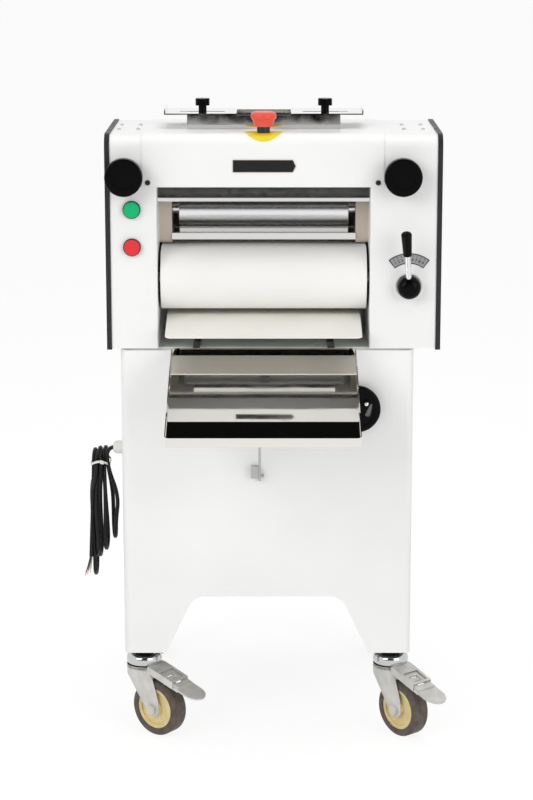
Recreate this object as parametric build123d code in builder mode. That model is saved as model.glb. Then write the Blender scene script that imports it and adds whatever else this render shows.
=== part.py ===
# A floor-standing dough moulder on casters. Dough drops through the chute between two pairs of rollers,
# rides the belt round its rear drum and is rolled on the press board below, out to the tray.
# The front faces -Y, +Z is up and the origin lies on the floor under the middle. Sizes are in millimetres.
import os
from math import cos, hypot, pi, radians, sin

from build123d import *

# Whole machine
head_middle_x = -6.0
front_y = -135.0
sheet = 2.0
fit = 0.05
clear = 0.3

# Head outline, seen from the side
base_thickness = 5.0
head_width = 553.0
head_height = 364.0
head_flat = 265.0
head_depth = 558.0
head_tail = 144.0
head_bend = 20.0
left_column_width = 79.0
right_column_width = 113.0
column_wall = 4.0
column_edge = 3.0
trim_thickness = 8.5
trim_width = 10.0
side_cover_thickness = 6.5

# Stand
stand_width = 504.0
stand_shift_x = -11.0
stand_depth = 512.0
stand_setback = 8.0
stand_height = 545.0
leg_bottom_z = 158.0
stand_bend = 12.0
stand_return = 35.0
stand_flange = 22.0
arch_height = 104.0
arch_top_width = 258.0
arch_bottom_width = 358.0
side_arch_top_width = 250.0
side_arch_bottom_width = 340.0
arch_corner = 32.0
foot_corner = 7.0
base_setback = 12.0
base_left_inset = 15.5
base_right_inset = 37.5

# Casters
caster_inset_x = 32.0
caster_inset_y = 44.0
left_heading = -36.0
right_heading = -49.0
rear_heading = -90.0
caster_trail = 34.0
wheel_diameter = 100.0
tyre_width = 32.0
tyre_chamfer = 4.0
core_diameter = 74.0
core_web = 20.0
core_rim = 6.0
core_boss = 24.0
axle_diameter = 10.0
axle_head = 17.0
axle_head_height = 6.0
hex_sides = 6
fork_gap = 36.0
fork_sheet = 3.0
fork_top_z = 126.0
fork_plate = 4.0
fork_boss = 13.0
ring_diameter = 62.0
ring_height = 20.0
ring_edge = 8.0
ring_recess = 36.0
ring_recess_depth = 12.0
stem_diameter = 12.0
stem_nut = 30.0
stem_flange = 20.0
stem_flange_height = 3.0
foot_plate_x = 64.0
foot_plate_y = 80.0
foot_plate_thickness = 4.0

# Brake pedals, in each caster's own plane: along the trail and up
pedal_pivot = (24.0, 112.0)
pedal_crest = (44.0, 119.0)
pedal_slope = -19.0
pedal_arm = 52.0
pedal_sheet = 3.0
pedal_width = 40.0
pedal_wall = 10.0
pedal_barrel = 12.0
pedal_pin = 6.0
pedal_window = (26.0, 20.0)
pedal_window_edge = 12.0
spoon_width = 46.0
spoon_lap = 8.0
spoon_straight = 18.0
spoon_round = 24.0
brake_lug = 8.0
brake_lug_x = 62.0
brake_lug_bottom_z = 100.0

# Rollers
roller_diameter = 65.0
roller_side_gap = 12.0
roller_shaft = 20.0
roller_chamfer = 1.0
journal_reach = 32.0
front_roller_inset = 112.0
lower_roller_rise = 227.0
upper_roller_rise = 297.0
lower_roller_spacing = 68.0
upper_roller_spacing = 72.0
roller_travel = 3.0
wall_hole_clear = 2.0
block_width = 22.0
block_inset = 78.0
block_depth = 154.0
block_rise = 170.4
block_height = 166.6
block_corner = 6.0

# Gap slides, knobs and lever
slide_depth = 40.0
slide_height = 44.0
slide_edge = 12.0
knob_inset = 53.5
knob_screw = 12.0
knob_diameter = 64.0
knob_thickness = 22.0
knob_edge = 3.0
knob_hub = 28.0
knob_reach = 18.0
knob_dish = 40.0
knob_dish_depth = 2.0
lever_inset = 66.5
lever_height = 108.0
lever_screw = 16.0
lever_arm_width = 24.0
lever_arm_depth = 20.0
lever_hub_diameter = 40.0
lever_hub_length = 30.0
lever_hub_dome = 14.0
lever_rod_diameter = 10.0
lever_rod_seat = 10.0
lever_rod_length = 64.5
lever_lean_forward = 20.0
lever_lean_left = 4.7
grip_length = 43.0
grip_foot = 14.5
grip_top = 18.6
grip_overlap = 12.0
grip_round = 4.6

# Belt, drums, guide and press board
belt_side_gap = 4.5
belt_thickness = 3.0
drum_diameter = 101.7
drum_edge = 1.0
drum_wall = 5.0
drum_web = 20.0
drum_shaft = 20.0
drum_reach = 24.0
front_drum_inset = 60.0
rear_drum_inset = 108.0
drum_rise = 113.85
guide_gap = 14.0
guide_sheet = 1.5
guide_start_angle = -95.0
guide_sweep_angle = 165.0
board_side_gap = 13.5
board_thickness = 3.5
board_gap = 10.7
board_apron = 110.0
board_apron_drop = 19.0
board_rear_inset = 20.0
board_corner = 10.0

# Press lifting frame and its handwheel
post_diameter = 12.0
post_offset = 100.0
front_post_inset = 150.0
rear_post_inset = 70.0
carrier_depth = 24.0
carrier_height = 24.0
carrier_inset = 25.0
lift_bar = 24.0
lift_bar_height = 8.0
wheel_offset_x = 154.0
wheel_drop = 100.0
handwheel_diameter = 82.0
handwheel_thickness = 12.0
handwheel_edge = 4.0
handwheel_gap = 8.0
handwheel_hub = 26.0
handwheel_dish = 64.0
handwheel_dish_depth = 3.0
handwheel_shaft = 14.0
shaft_bush = 26.0
shaft_bush_length = 14.0
crank_radius = 19.7
crank_angle = 34.0
crank_diameter = 9.0
crank_height = 7.0
tear_holes = 3
tear_tip = (25.8, 15.5, 4.0)
tear_end = (21.5, -28.6, 9.0)
cam_radius = 20.0
cam_rise = 2.0
cam_width = 20.0
cam_play = 0.5
cam_half_turn = 165.0
cam_points = 13

# Hood, rear cover and roller guards
hood_left_lap = 24.5
hood_right_lap = 22.5
hood_drop = 87.0
hood_inner_bend = 18.0
rear_cover_drop = 130.0
guard_inset = 24.0
guard_rise = 249.0
guard_height = 8.0
guard_depth = 6.0
guard_edge = 1.5
scraper_inset = 75.0
scraper_rise = 6.6
scraper_bar = 11.0
scraper_gap = 2.0
scraper_angle = 30.0

# Infeed chute, guides and star knobs
chute_width = 263.0
chute_inset = 90.0
chute_depth = 110.0
chute_rise = 25.5
chute_wall = 24.0
chute_drop = 26.0
neck_front = 38.0
neck_depth = 38.0
tab_length = 40.0
guide_plate = 2.0
guide_length = 124.0
guide_depth = 104.0
guide_inner = 47.0
guide_lip = 18.0
guide_tab = 8.0
guide_travel = 35.0
guide_corner = 6.0
star_offset = 106.0
star_inset = 133.0
star_screw = 8.0
star_screw_drop = 8.0
star_collar = 14.0
star_collar_height = 10.5
star_diameter = 25.0
star_height = 12.0
star_lobes = 6
star_notch = 7.0
star_notch_out = 1.2
star_edge = 1.0

# Switches
button_inset = 42.5
start_rise = 239.0
stop_rise = 175.0
bezel_diameter = 30.0
bezel_height = 6.0
bezel_floor = 1.0
button_diameter = 27.0
button_height = 4.0
button_edge = 1.0
button_travel = 4.0
button_stem = 12.0
barrel_diameter = 22.0
barrel_length = 25.0
estop_inset = 27.0
estop_body = 16.0
estop_collar = 22.0
estop_collar_height = 11.0
estop_body_length = 20.0
estop_ribs = 12
estop_rib = 1.5
estop_diameter = 43.5
estop_neck = 33.0
estop_height = 24.0
estop_flare = 14.0
estop_rim = 4.0
estop_travel = 5.0
estop_stem = 10.0

# Tray, stay and mains cord
tray_slope = 18.8
tray_width = 316.0
tray_length = 297.0
tray_wall = 17.0
tray_rear_wall = 12.0
tray_sheet = 1.5
tray_corner = 8.0
tray_reach = 10.0
tray_drop = 8.0
tongue_offset = 115.0
tongue_width = 12.0
tongue_sheet = 3.0
tongue_inset = 95.0
stay_offset = 7.0
stay_drop = 229.0
stay_reach = 120.0
stay_diameter = 4.0
stay_block = (13.0, 12.0, 21.0)
stay_block_rise = 5.0
stay_bolt_length = 9.0
stay_bolt = 6.0
stay_bolt_rise = 8.0
gland_inset = 60.0
gland_z = 520.0
gland_nut = 24.0
gland_nut_height = 6.0
gland_diameter = 16.0
gland_length = 16.0
gland_edge = 2.2
cord_diameter = 7.0
cord_exit = 13.0
exit_radius = 10.0
hank_top_z = 505.0
hank_width = 44.0
hank_step = 7.8
hank_swing = 20.0
hank_loops = 5
hank_first_bottom_z = 357.0
hank_bottom_step = 16.0
cord_end_z = 325.0

# Motor on its shelf in the stand, and the belt drive to the front drum
shelf_z = 322.0
shelf_depth = 190.0
shelf_lip = 25.0
motor_inset = 135.0
motor_rise = 80.0
motor_reach = 15.5
motor_length = 190.0
motor_diameter = 124.0
motor_fins = 20
motor_fin_height = 7.0
motor_fin = 3.0
motor_fan_length = 42.0
motor_boss = 56.0
motor_boss_length = 10.0
motor_shaft = 19.0
motor_shaft_seat = 30.0
motor_foot = (110.0, 134.0, 9.0)
motor_neck_depth = 84.0
terminal_box = (84.0, 76.0, 100.0)
pulley_gap = 4.0
pulley_width = 16.0
pulley_flange = 3.0
pulley_groove = 6.0
drum_pulley_radius = 42.0
motor_pulley_radius = 25.0
drive_belt_width = 9.0
drive_belt_thickness = 5.5
drive_side_clear = 4.0
drive_slot_clear = 12.0

# Places that follow from the sizes above
stand_top_z = leg_bottom_z + stand_height
stand_middle_x = head_middle_x + stand_shift_x
stand_left_x = stand_middle_x - stand_width / 2
stand_right_x = stand_middle_x + stand_width / 2
stand_front_y = front_y + stand_setback
stand_rear_y = stand_front_y + stand_depth
stand_middle_y = stand_front_y + stand_depth / 2
head_bottom_z = stand_top_z + base_thickness
head_top_z = head_bottom_z + head_height
head_left_x = head_middle_x - head_width / 2
head_right_x = head_middle_x + head_width / 2
left_inner_x = head_left_x + left_column_width
right_inner_x = head_right_x - right_column_width
centre_x = (left_inner_x + right_inner_x) / 2
opening_width = right_inner_x - left_inner_x
front_caster_y = stand_front_y + caster_inset_y
rear_caster_y = stand_rear_y - caster_inset_y
left_caster_x = stand_left_x + caster_inset_x
right_caster_x = stand_right_x - caster_inset_x
axle_z = wheel_diameter / 2
front_roller_y = front_y + front_roller_inset
lower_roller_z = head_bottom_z + lower_roller_rise
upper_roller_z = head_bottom_z + upper_roller_rise
roller_face = opening_width - 2 * block_width - 2 * roller_side_gap
block_front_y = front_y + block_inset
block_bottom_z = head_bottom_z + block_rise
left_knob_x = left_inner_x - knob_inset
right_knob_x = right_inner_x + knob_inset
lever_x = right_inner_x + lever_inset
lever_z = head_bottom_z + lever_height
belt_width = opening_width - 2 * belt_side_gap
drum_width = belt_width - 2 * drum_edge
belt_outer = drum_diameter / 2 + clear + belt_thickness
front_drum_y = front_y + front_drum_inset
rear_drum_y = front_y + head_depth - rear_drum_inset
drum_z = head_bottom_z + drum_rise
board_width = opening_width - 2 * board_side_gap
board_top_z = drum_z - belt_outer - board_gap
front_post_y = front_y + front_post_inset
rear_post_y = rear_drum_y - rear_post_inset
wheel_x = stand_middle_x + wheel_offset_x
wheel_z = stand_top_z - wheel_drop
hood_left_x = left_inner_x - hood_left_lap
hood_width = opening_width + hood_left_lap + hood_right_lap
guard_y = front_y + guard_inset
guard_bottom_z = head_bottom_z + guard_rise
scraper_y = front_y + scraper_inset
scraper_z = block_bottom_z + scraper_rise
chute_front_y = front_y + chute_inset
chute_top_z = head_top_z + chute_rise
chute_bottom_z = head_top_z - chute_drop
star_y = front_y + star_inset
button_x = left_inner_x - button_inset
start_z = head_bottom_z + start_rise
stop_z = head_bottom_z + stop_rise
estop_y = front_y + estop_inset
tray_rear_y = front_y - tray_reach
tongue_end_y = front_y + tongue_inset
stay_x = centre_x - stay_offset
stay_foot_z = stand_top_z - stay_drop
stay_top_y = front_y - stay_reach
gland_y = front_y + gland_inset
lower_rear_y = front_roller_y + lower_roller_spacing
upper_rear_y = front_roller_y + upper_roller_spacing
front_rollers = [(front_roller_y, lower_roller_z), (front_roller_y, upper_roller_z)]
rear_rollers = [(lower_rear_y, lower_roller_z), (upper_rear_y, upper_roller_z)]
drums = [(front_drum_y, drum_z), (rear_drum_y, drum_z)]
chute_middle_y = chute_front_y + chute_depth / 2
motor_y = front_y + motor_inset
motor_z = shelf_z + motor_rise
pulley_x = right_inner_x + column_wall + pulley_gap
motor_face_x = pulley_x - motor_reach - motor_boss_length
drive_share = (head_bottom_z - motor_z) / (drum_z - motor_z)
drive_half = motor_pulley_radius + (drum_pulley_radius - motor_pulley_radius) * drive_share
drive_slot_x = pulley_x + pulley_width / 2
drive_slot_y = motor_y + (front_drum_y - motor_y) * drive_share
drive_slot_width = drive_belt_width + 2 * drive_side_clear
drive_slot_length = 2 * (drive_half + drive_belt_thickness + drive_slot_clear)


def save(part, name):
    """Label a finished piece and write it to its own file."""
    part.label = name
    export_step(part, f"parts/{name}.step")


os.makedirs("parts", exist_ok=True)


# Stand front panel: folded at both sides, arched at the floor, with the bush of the handwheel shaft
with BuildPart() as stand_front_panel:
    with BuildSketch(Plane.XY.offset(leg_bottom_z)):
        with BuildLine():
            FilletPolyline(
                (stand_left_x, stand_front_y + stand_return),
                (stand_left_x, stand_front_y),
                (stand_right_x, stand_front_y),
                (stand_right_x, stand_front_y + stand_return),
                radius=stand_bend,
            )
            offset(amount=sheet, side=Side.LEFT)
        make_face()
    extrude(amount=stand_height)
    with BuildSketch(Plane.XZ.offset(-stand_front_y)) as arch:
        with BuildLine():
            Polyline(
                (stand_middle_x - arch_bottom_width / 2, leg_bottom_z),
                (stand_middle_x - arch_top_width / 2, leg_bottom_z + arch_height),
                (stand_middle_x + arch_top_width / 2, leg_bottom_z + arch_height),
                (stand_middle_x + arch_bottom_width / 2, leg_bottom_z),
                close=True,
            )
        make_face()
        fillet(arch.vertices().group_by(Axis.Y)[-1], arch_corner)
    extrude(amount=-sheet, mode=Mode.SUBTRACT)
    with BuildSketch(Plane.XY.offset(stand_top_z - sheet)):
        with Locations((stand_middle_x, stand_front_y + sheet)):
            Rectangle(stand_width - 2 * stand_flange, stand_flange, align=(Align.CENTER, Align.MIN))
    extrude(amount=sheet)
    foot_edges = stand_front_panel.edges().filter_by(Axis.Y).group_by(Axis.Z)[0]
    fillet(foot_edges.filter_by(lambda edge: edge.length < stand_bend), foot_corner)
    with BuildSketch(Plane.XZ.offset(-stand_front_y - sheet)):
        with Locations((wheel_x, wheel_z)):
            Circle(shaft_bush / 2)
    extrude(amount=-shaft_bush_length)
    with BuildSketch(Plane.XZ.offset(-stand_front_y)):
        with Locations((wheel_x, wheel_z)):
            Circle(handwheel_shaft / 2 + fit)
    extrude(amount=-sheet - shaft_bush_length, mode=Mode.SUBTRACT)
save(stand_front_panel.part, "stand_front_panel")


# Stand rear and side panels, welded into one folded box and lapped inside the front panel's returns
with BuildPart() as stand_panels:
    with BuildSketch(Plane.XY.offset(leg_bottom_z)):
        with BuildLine():
            FilletPolyline(
                (stand_right_x, stand_rear_y - stand_return),
                (stand_right_x, stand_rear_y),
                (stand_left_x, stand_rear_y),
                (stand_left_x, stand_rear_y - stand_return),
                radius=stand_bend,
            )
            offset(amount=sheet, side=Side.LEFT)
        make_face()
        with Locations((stand_left_x + sheet, stand_middle_y), (stand_right_x - 2 * sheet, stand_middle_y)):
            Rectangle(sheet, stand_depth - 2 * stand_bend - 2 * sheet, align=(Align.MIN, Align.CENTER))
    extrude(amount=stand_height)
    with BuildSketch(Plane.XZ.offset(-stand_rear_y)) as rear_arch:
        with BuildLine():
            Polyline(
                (stand_middle_x - arch_bottom_width / 2, leg_bottom_z),
                (stand_middle_x - arch_top_width / 2, leg_bottom_z + arch_height),
                (stand_middle_x + arch_top_width / 2, leg_bottom_z + arch_height),
                (stand_middle_x + arch_bottom_width / 2, leg_bottom_z),
                close=True,
            )
        make_face()
        fillet(rear_arch.vertices().group_by(Axis.Y)[-1], arch_corner)
    extrude(amount=sheet, mode=Mode.SUBTRACT)
    with BuildSketch(Plane.YZ.offset(stand_left_x)) as side_arch:
        with BuildLine():
            Polyline(
                (stand_middle_y - side_arch_bottom_width / 2, leg_bottom_z),
                (stand_middle_y - side_arch_top_width / 2, leg_bottom_z + arch_height),
                (stand_middle_y + side_arch_top_width / 2, leg_bottom_z + arch_height),
                (stand_middle_y + side_arch_bottom_width / 2, leg_bottom_z),
                close=True,
            )
        make_face()
        fillet(side_arch.vertices().group_by(Axis.Y)[-1], arch_corner)
    extrude(amount=stand_width, mode=Mode.SUBTRACT)
save(stand_panels.part, "stand_panels")


# Head base plate between the stand and the columns, with bores for the lifting posts and the drive's slot
with BuildPart() as head_base:
    with BuildSketch(Plane.XY.offset(stand_top_z)):
        with Locations((head_left_x + base_left_inset, front_y + base_setback)):
            Rectangle(
                head_width - base_left_inset - base_right_inset,
                stand_rear_y - sheet - front_y - base_setback,
                align=Align.MIN,
            )
        for post_y in (front_post_y, rear_post_y):
            with Locations((centre_x - post_offset, post_y), (centre_x + post_offset, post_y)):
                Circle(post_diameter / 2 + fit, mode=Mode.SUBTRACT)
        with Locations((drive_slot_x, drive_slot_y)):
            Rectangle(drive_slot_width, drive_slot_length, mode=Mode.SUBTRACT)
    extrude(amount=base_thickness)
save(head_base.part, "head_base")


# Head outline, used by the columns, the side covers and their trims
def head_face(grow):
    """Side face of the head, moved outwards all round by grow."""
    with BuildSketch() as face:
        with BuildLine():
            Polyline(
                (front_y, head_bottom_z),
                (front_y, head_top_z),
                (front_y + head_flat, head_top_z),
                (front_y + head_depth, head_bottom_z + head_tail),
                (front_y + head_depth, head_bottom_z),
                close=True,
            )
        make_face()
        bends = face.vertices().filter_by(lambda v: v.Y > head_bottom_z).sort_by(Axis.X)
        fillet([bends[0], bends[-1]], head_bend)
        if grow:
            offset(amount=grow, kind=Kind.INTERSECTION)
    return face.sketch


column_face = head_face(0)
column_cavity = head_face(-sheet)
trim_outer = head_face(sheet)
trim_inner = head_face(sheet - trim_width)
cover_face = head_face(sheet - trim_width - fit)
cover_hollow = head_face(-trim_width - fit)


def make_column(inner_x, outer_x, front_bores, floor_slots):
    """Sheet column, open outside, with shaft holes in its inner wall, front bores and floor slots."""
    outwards = 1 if outer_x > inner_x else -1
    with BuildPart() as column:
        with BuildSketch(Plane.YZ.offset(inner_x)):
            add(column_face)
        extrude(amount=outer_x - inner_x)
        front_corner = Vertex(inner_x, front_y, head_bottom_z)
        fillet(column.edges().filter_by(Axis.Z).sort_by_distance(front_corner)[0], column_edge)
        with BuildSketch(Plane.YZ.offset(inner_x + outwards * column_wall)):
            add(column_cavity)
        extrude(amount=outer_x - inner_x - outwards * column_wall, mode=Mode.SUBTRACT)
        with BuildSketch(Plane.YZ.offset(inner_x)):
            with Locations(*front_rollers):
                Circle(roller_shaft / 2 + wall_hole_clear)
            with Locations(*rear_rollers):
                SlotCenterToCenter(2 * roller_travel, roller_shaft + 2 * wall_hole_clear)
            with Locations(*drums):
                Circle(drum_shaft / 2 + fit)
        extrude(amount=outwards * column_wall, mode=Mode.SUBTRACT)
        with BuildSketch(Plane.XZ.offset(-front_y)):
            for bore_x, bore_z, bore in front_bores:
                with Locations((bore_x, bore_z)):
                    Circle(bore / 2 + fit)
        extrude(amount=-sheet, mode=Mode.SUBTRACT)
        for slot_place in floor_slots:
            with BuildSketch(Plane.XY.offset(head_bottom_z)):
                with Locations(slot_place):
                    Rectangle(drive_slot_width, drive_slot_length)
            extrude(amount=sheet, mode=Mode.SUBTRACT)
    return column.part


left_bores = [
    (left_knob_x, upper_roller_z, knob_screw),
    (button_x, start_z, barrel_diameter),
    (button_x, stop_z, barrel_diameter),
]
right_bores = [
    (right_knob_x, upper_roller_z, knob_screw),
    (lever_x, lever_z, lever_screw),
]
right_slots = [(drive_slot_x, drive_slot_y)]
save(make_column(left_inner_x, head_left_x, left_bores, []), "left_column")
save(make_column(right_inner_x, head_right_x, right_bores, right_slots), "right_column")


# Side covers, one shallow white pan on each outer side
with BuildPart() as side_covers:
    for face_x, outwards in ((head_left_x, -1), (head_right_x, 1)):
        with BuildSketch(Plane.YZ.offset(face_x)):
            add(cover_face)
        extrude(amount=outwards * side_cover_thickness)
        with BuildSketch(Plane.YZ.offset(face_x)):
            add(cover_hollow)
        extrude(amount=outwards * (side_cover_thickness - sheet), mode=Mode.SUBTRACT)
save(side_covers.part, "side_covers")


# Side trims, a black frame round each side cover
with BuildPart() as side_trims:
    for face_x, outwards in ((head_left_x, -1), (head_right_x, 1)):
        with BuildSketch(Plane.YZ.offset(face_x)):
            add(trim_outer)
            add(trim_inner, mode=Mode.SUBTRACT)
        extrude(amount=outwards * trim_thickness)
save(side_trims.part, "side_trims")


# Hood over the front and the top of the head, open round the chute
with BuildPart() as hood:
    with BuildSketch(Plane.YZ.offset(hood_left_x)):
        with BuildLine():
            FilletPolyline(
                (front_y, head_top_z - hood_drop),
                (front_y, head_top_z),
                (front_y + head_flat - clear, head_top_z),
                radius=hood_inner_bend,
            )
            offset(amount=sheet, side=Side.LEFT)
        make_face()
    extrude(amount=hood_width)
    with BuildSketch(Plane.XY.offset(head_top_z)):
        with Locations((centre_x, chute_middle_y)):
            Rectangle(chute_width + 2 * clear, chute_depth + 2 * clear)
        with Locations((centre_x, estop_y)):
            Circle(estop_body / 2 + fit)
    extrude(amount=sheet, mode=Mode.SUBTRACT)
save(hood.part, "hood")


# Rear cover down the slope and the back of the head
with BuildPart() as rear_cover:
    with BuildSketch(Plane.YZ.offset(hood_left_x)):
        with BuildLine():
            FilletPolyline(
                (front_y + head_flat, head_top_z),
                (front_y + head_depth, head_bottom_z + head_tail),
                (front_y + head_depth, head_bottom_z + head_tail - rear_cover_drop),
                radius=hood_inner_bend,
            )
            offset(amount=sheet, side=Side.LEFT)
        make_face()
    extrude(amount=hood_width)
save(rear_cover.part, "rear_cover")


# Roller blocks, bored for the front rollers and slotted for the rear ones
with BuildPart() as roller_blocks:
    for block_x in (left_inner_x, right_inner_x - block_width):
        with BuildSketch(Plane.YZ.offset(block_x)):
            with Locations((block_front_y + block_depth / 2, block_bottom_z + block_height / 2)):
                RectangleRounded(block_depth, block_height, block_corner)
            with Locations(*front_rollers):
                Circle(roller_shaft / 2 + fit, mode=Mode.SUBTRACT)
            with Locations(*rear_rollers):
                SlotCenterToCenter(2 * roller_travel, roller_shaft + 2 * clear, mode=Mode.SUBTRACT)
        extrude(amount=block_width)
save(roller_blocks.part, "roller_blocks")


# Rollers: a chromed face between two journals
def make_roller(y, z):
    """Roller across the opening, with journals that reach into both columns."""
    half_shaft = opening_width / 2 + column_wall + journal_reach
    with BuildPart() as roller:
        with BuildSketch(Plane.YZ.offset(centre_x - roller_face / 2)):
            with Locations((y, z)):
                Circle(roller_diameter / 2)
        extrude(amount=roller_face)
        chamfer(roller.edges().filter_by(GeomType.CIRCLE), roller_chamfer)
        with BuildSketch(Plane.YZ.offset(centre_x - half_shaft)):
            with Locations((y, z)):
                Circle(roller_shaft / 2)
        extrude(amount=2 * half_shaft)
    return roller.part


save(make_roller(front_roller_y, upper_roller_z), "upper_front_roller")
save(make_roller(upper_rear_y, upper_roller_z), "upper_rear_roller")
save(make_roller(front_roller_y, lower_roller_z), "lower_front_roller")
save(make_roller(lower_rear_y, lower_roller_z), "lower_rear_roller")


# Slides in the columns, which carry the journals of the rear rollers
journal_walls = ((left_inner_x - column_wall, -1), (right_inner_x + column_wall, 1))
upper_slide_width = knob_inset + slide_edge - column_wall - clear
with BuildPart() as upper_slides:
    with BuildSketch(Plane.XZ.offset(slide_depth / 2 - upper_rear_y)):
        with Locations((right_inner_x + column_wall + clear, upper_roller_z)):
            Rectangle(upper_slide_width, slide_height, align=(Align.MIN, Align.CENTER))
        with Locations((left_inner_x - column_wall - clear, upper_roller_z)):
            Rectangle(upper_slide_width, slide_height, align=(Align.MAX, Align.CENTER))
        with Locations((left_knob_x, upper_roller_z), (right_knob_x, upper_roller_z)):
            Circle(knob_screw / 2 + fit, mode=Mode.SUBTRACT)
    extrude(amount=-slide_depth)
    for wall_x, outwards in journal_walls:
        with BuildSketch(Plane.YZ.offset(wall_x)):
            with Locations((upper_rear_y, upper_roller_z)):
                Circle(roller_shaft / 2 + fit)
        extrude(amount=outwards * (journal_reach + clear), mode=Mode.SUBTRACT)
save(upper_slides.part, "upper_slides")


with BuildPart() as lower_slides:
    with BuildSketch(Plane.XZ.offset(slide_depth / 2 - lower_rear_y)):
        with Locations((right_inner_x + column_wall + clear, lower_roller_z)):
            lower_slide_width = lever_inset + lever_arm_width / 2 - column_wall - clear
            Rectangle(lower_slide_width, slide_height, align=(Align.MIN, Align.CENTER))
        with Locations((left_inner_x - column_wall - clear, lower_roller_z)):
            Rectangle(journal_reach + slide_edge, slide_height, align=(Align.MAX, Align.CENTER))
    extrude(amount=-slide_depth)
    with BuildSketch(Plane.XZ.offset(lever_arm_depth / 2 - lower_rear_y)):
        with Locations((lever_x, lower_roller_z)):
            arm_drop = lower_roller_z - lever_z
            Rectangle(lever_arm_width, arm_drop, align=(Align.CENTER, Align.MAX))
        with Locations((lever_x, lever_z)):
            Circle(lever_arm_width / 2)
            Circle(lever_screw / 2 + fit, mode=Mode.SUBTRACT)
    extrude(amount=-lever_arm_depth)
    for wall_x, outwards in journal_walls:
        with BuildSketch(Plane.YZ.offset(wall_x)):
            with Locations((lower_rear_y, lower_roller_z)):
                Circle(roller_shaft / 2 + fit)
        extrude(amount=outwards * (journal_reach + clear), mode=Mode.SUBTRACT)
save(lower_slides.part, "lower_slides")


# Gap knobs: a black disc on a hub, with the screw that runs back through its slide
def make_gap_knob(x):
    """Knob and screw of one upper slide."""
    disc_y = front_y - knob_reach - knob_thickness
    screw_end_y = upper_rear_y + slide_depth / 2 + roller_travel + clear
    with BuildPart() as knob:
        with BuildSketch(Plane.XZ.offset(-disc_y)):
            with Locations((x, upper_roller_z)):
                Circle(knob_diameter / 2)
        extrude(amount=-knob_thickness)
        fillet(knob.edges().filter_by(GeomType.CIRCLE), knob_edge)
        with BuildSketch(Plane.XZ.offset(-disc_y)):
            with Locations((x, upper_roller_z)):
                Circle(knob_dish / 2)
        extrude(amount=-knob_dish_depth, mode=Mode.SUBTRACT)
        with BuildSketch(Plane.XZ.offset(-disc_y - knob_thickness)):
            with Locations((x, upper_roller_z)):
                Circle(knob_hub / 2)
        extrude(amount=clear - knob_reach)
        with BuildSketch(Plane.XZ.offset(clear - front_y)):
            with Locations((x, upper_roller_z)):
                Circle(knob_screw / 2)
        extrude(amount=front_y - clear - screw_end_y)
    return knob.part


save(make_gap_knob(left_knob_x), "left_gap_knob")
save(make_gap_knob(right_knob_x), "right_gap_knob")


# Gap lever: domed hub with its screw, leaning rod and tapered grip
lever_middle = Vector(lever_x, front_y - lever_hub_length / 2, lever_z)
lever_rise = cos(radians(lever_lean_forward))
lever_direction = Vector(
    -lever_rise * sin(radians(lever_lean_left)),
    -sin(radians(lever_lean_forward)),
    lever_rise * cos(radians(lever_lean_left)),
)
lever_plane = Plane(origin=lever_middle, x_dir=lever_direction.cross(Vector(1, 0, 0)), z_dir=lever_direction)
lever_rod_top = lever_rod_seat + lever_rod_length
with BuildPart() as lever_hub:
    with BuildSketch(Plane.XZ.offset(lever_hub_length - front_y)):
        with Locations((lever_x, lever_z)):
            Circle(lever_hub_diameter / 2)
    extrude(amount=clear - lever_hub_length)
    fillet(lever_hub.edges().filter_by(GeomType.CIRCLE).sort_by(Axis.Y)[0], lever_hub_dome)
    with BuildSketch(Plane.XZ.offset(clear - front_y)):
        with Locations((lever_x, lever_z)):
            Circle(lever_screw / 2)
    lever_screw_end_y = lower_rear_y + lever_arm_depth / 2 + roller_travel
    extrude(amount=front_y - clear - lever_screw_end_y)
    with BuildSketch(lever_plane.offset(lever_rod_seat)):
        Circle(lever_rod_diameter / 2 + fit)
    extrude(amount=lever_hub_diameter, mode=Mode.SUBTRACT)
save(lever_hub.part, "lever_hub")

with BuildPart() as lever_rod:
    with BuildSketch(lever_plane.offset(lever_rod_seat + fit)):
        Circle(lever_rod_diameter / 2)
    extrude(amount=lever_rod_length - fit)
save(lever_rod.part, "lever_rod")

with BuildPart() as lever_grip:
    with BuildSketch(lever_plane.offset(lever_rod_top - grip_overlap)):
        Circle(grip_foot / 2)
    with BuildSketch(lever_plane.offset(lever_rod_top - grip_overlap + grip_length)):
        Circle(grip_top / 2)
    loft()
    grip_end = lever_grip.faces().filter_by(GeomType.PLANE).sort_by(Axis.Z)[-1]
    fillet(grip_end.edges(), grip_round)
    with BuildSketch(lever_plane.offset(lever_rod_top - grip_overlap)):
        Circle(lever_rod_diameter / 2 + fit)
    extrude(amount=grip_overlap + fit, mode=Mode.SUBTRACT)
save(lever_grip.part, "lever_grip")


# Belt: an endless band round both drums
with BuildPart() as belt:
    for loop_radius, loop_mode in ((belt_outer, Mode.ADD), (belt_outer - belt_thickness, Mode.SUBTRACT)):
        with BuildSketch(Plane.YZ.offset(centre_x - belt_width / 2)):
            with Locations(*drums):
                Circle(loop_radius)
            make_hull()
        extrude(amount=belt_width, mode=loop_mode)
save(belt.part, "belt")


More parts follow.
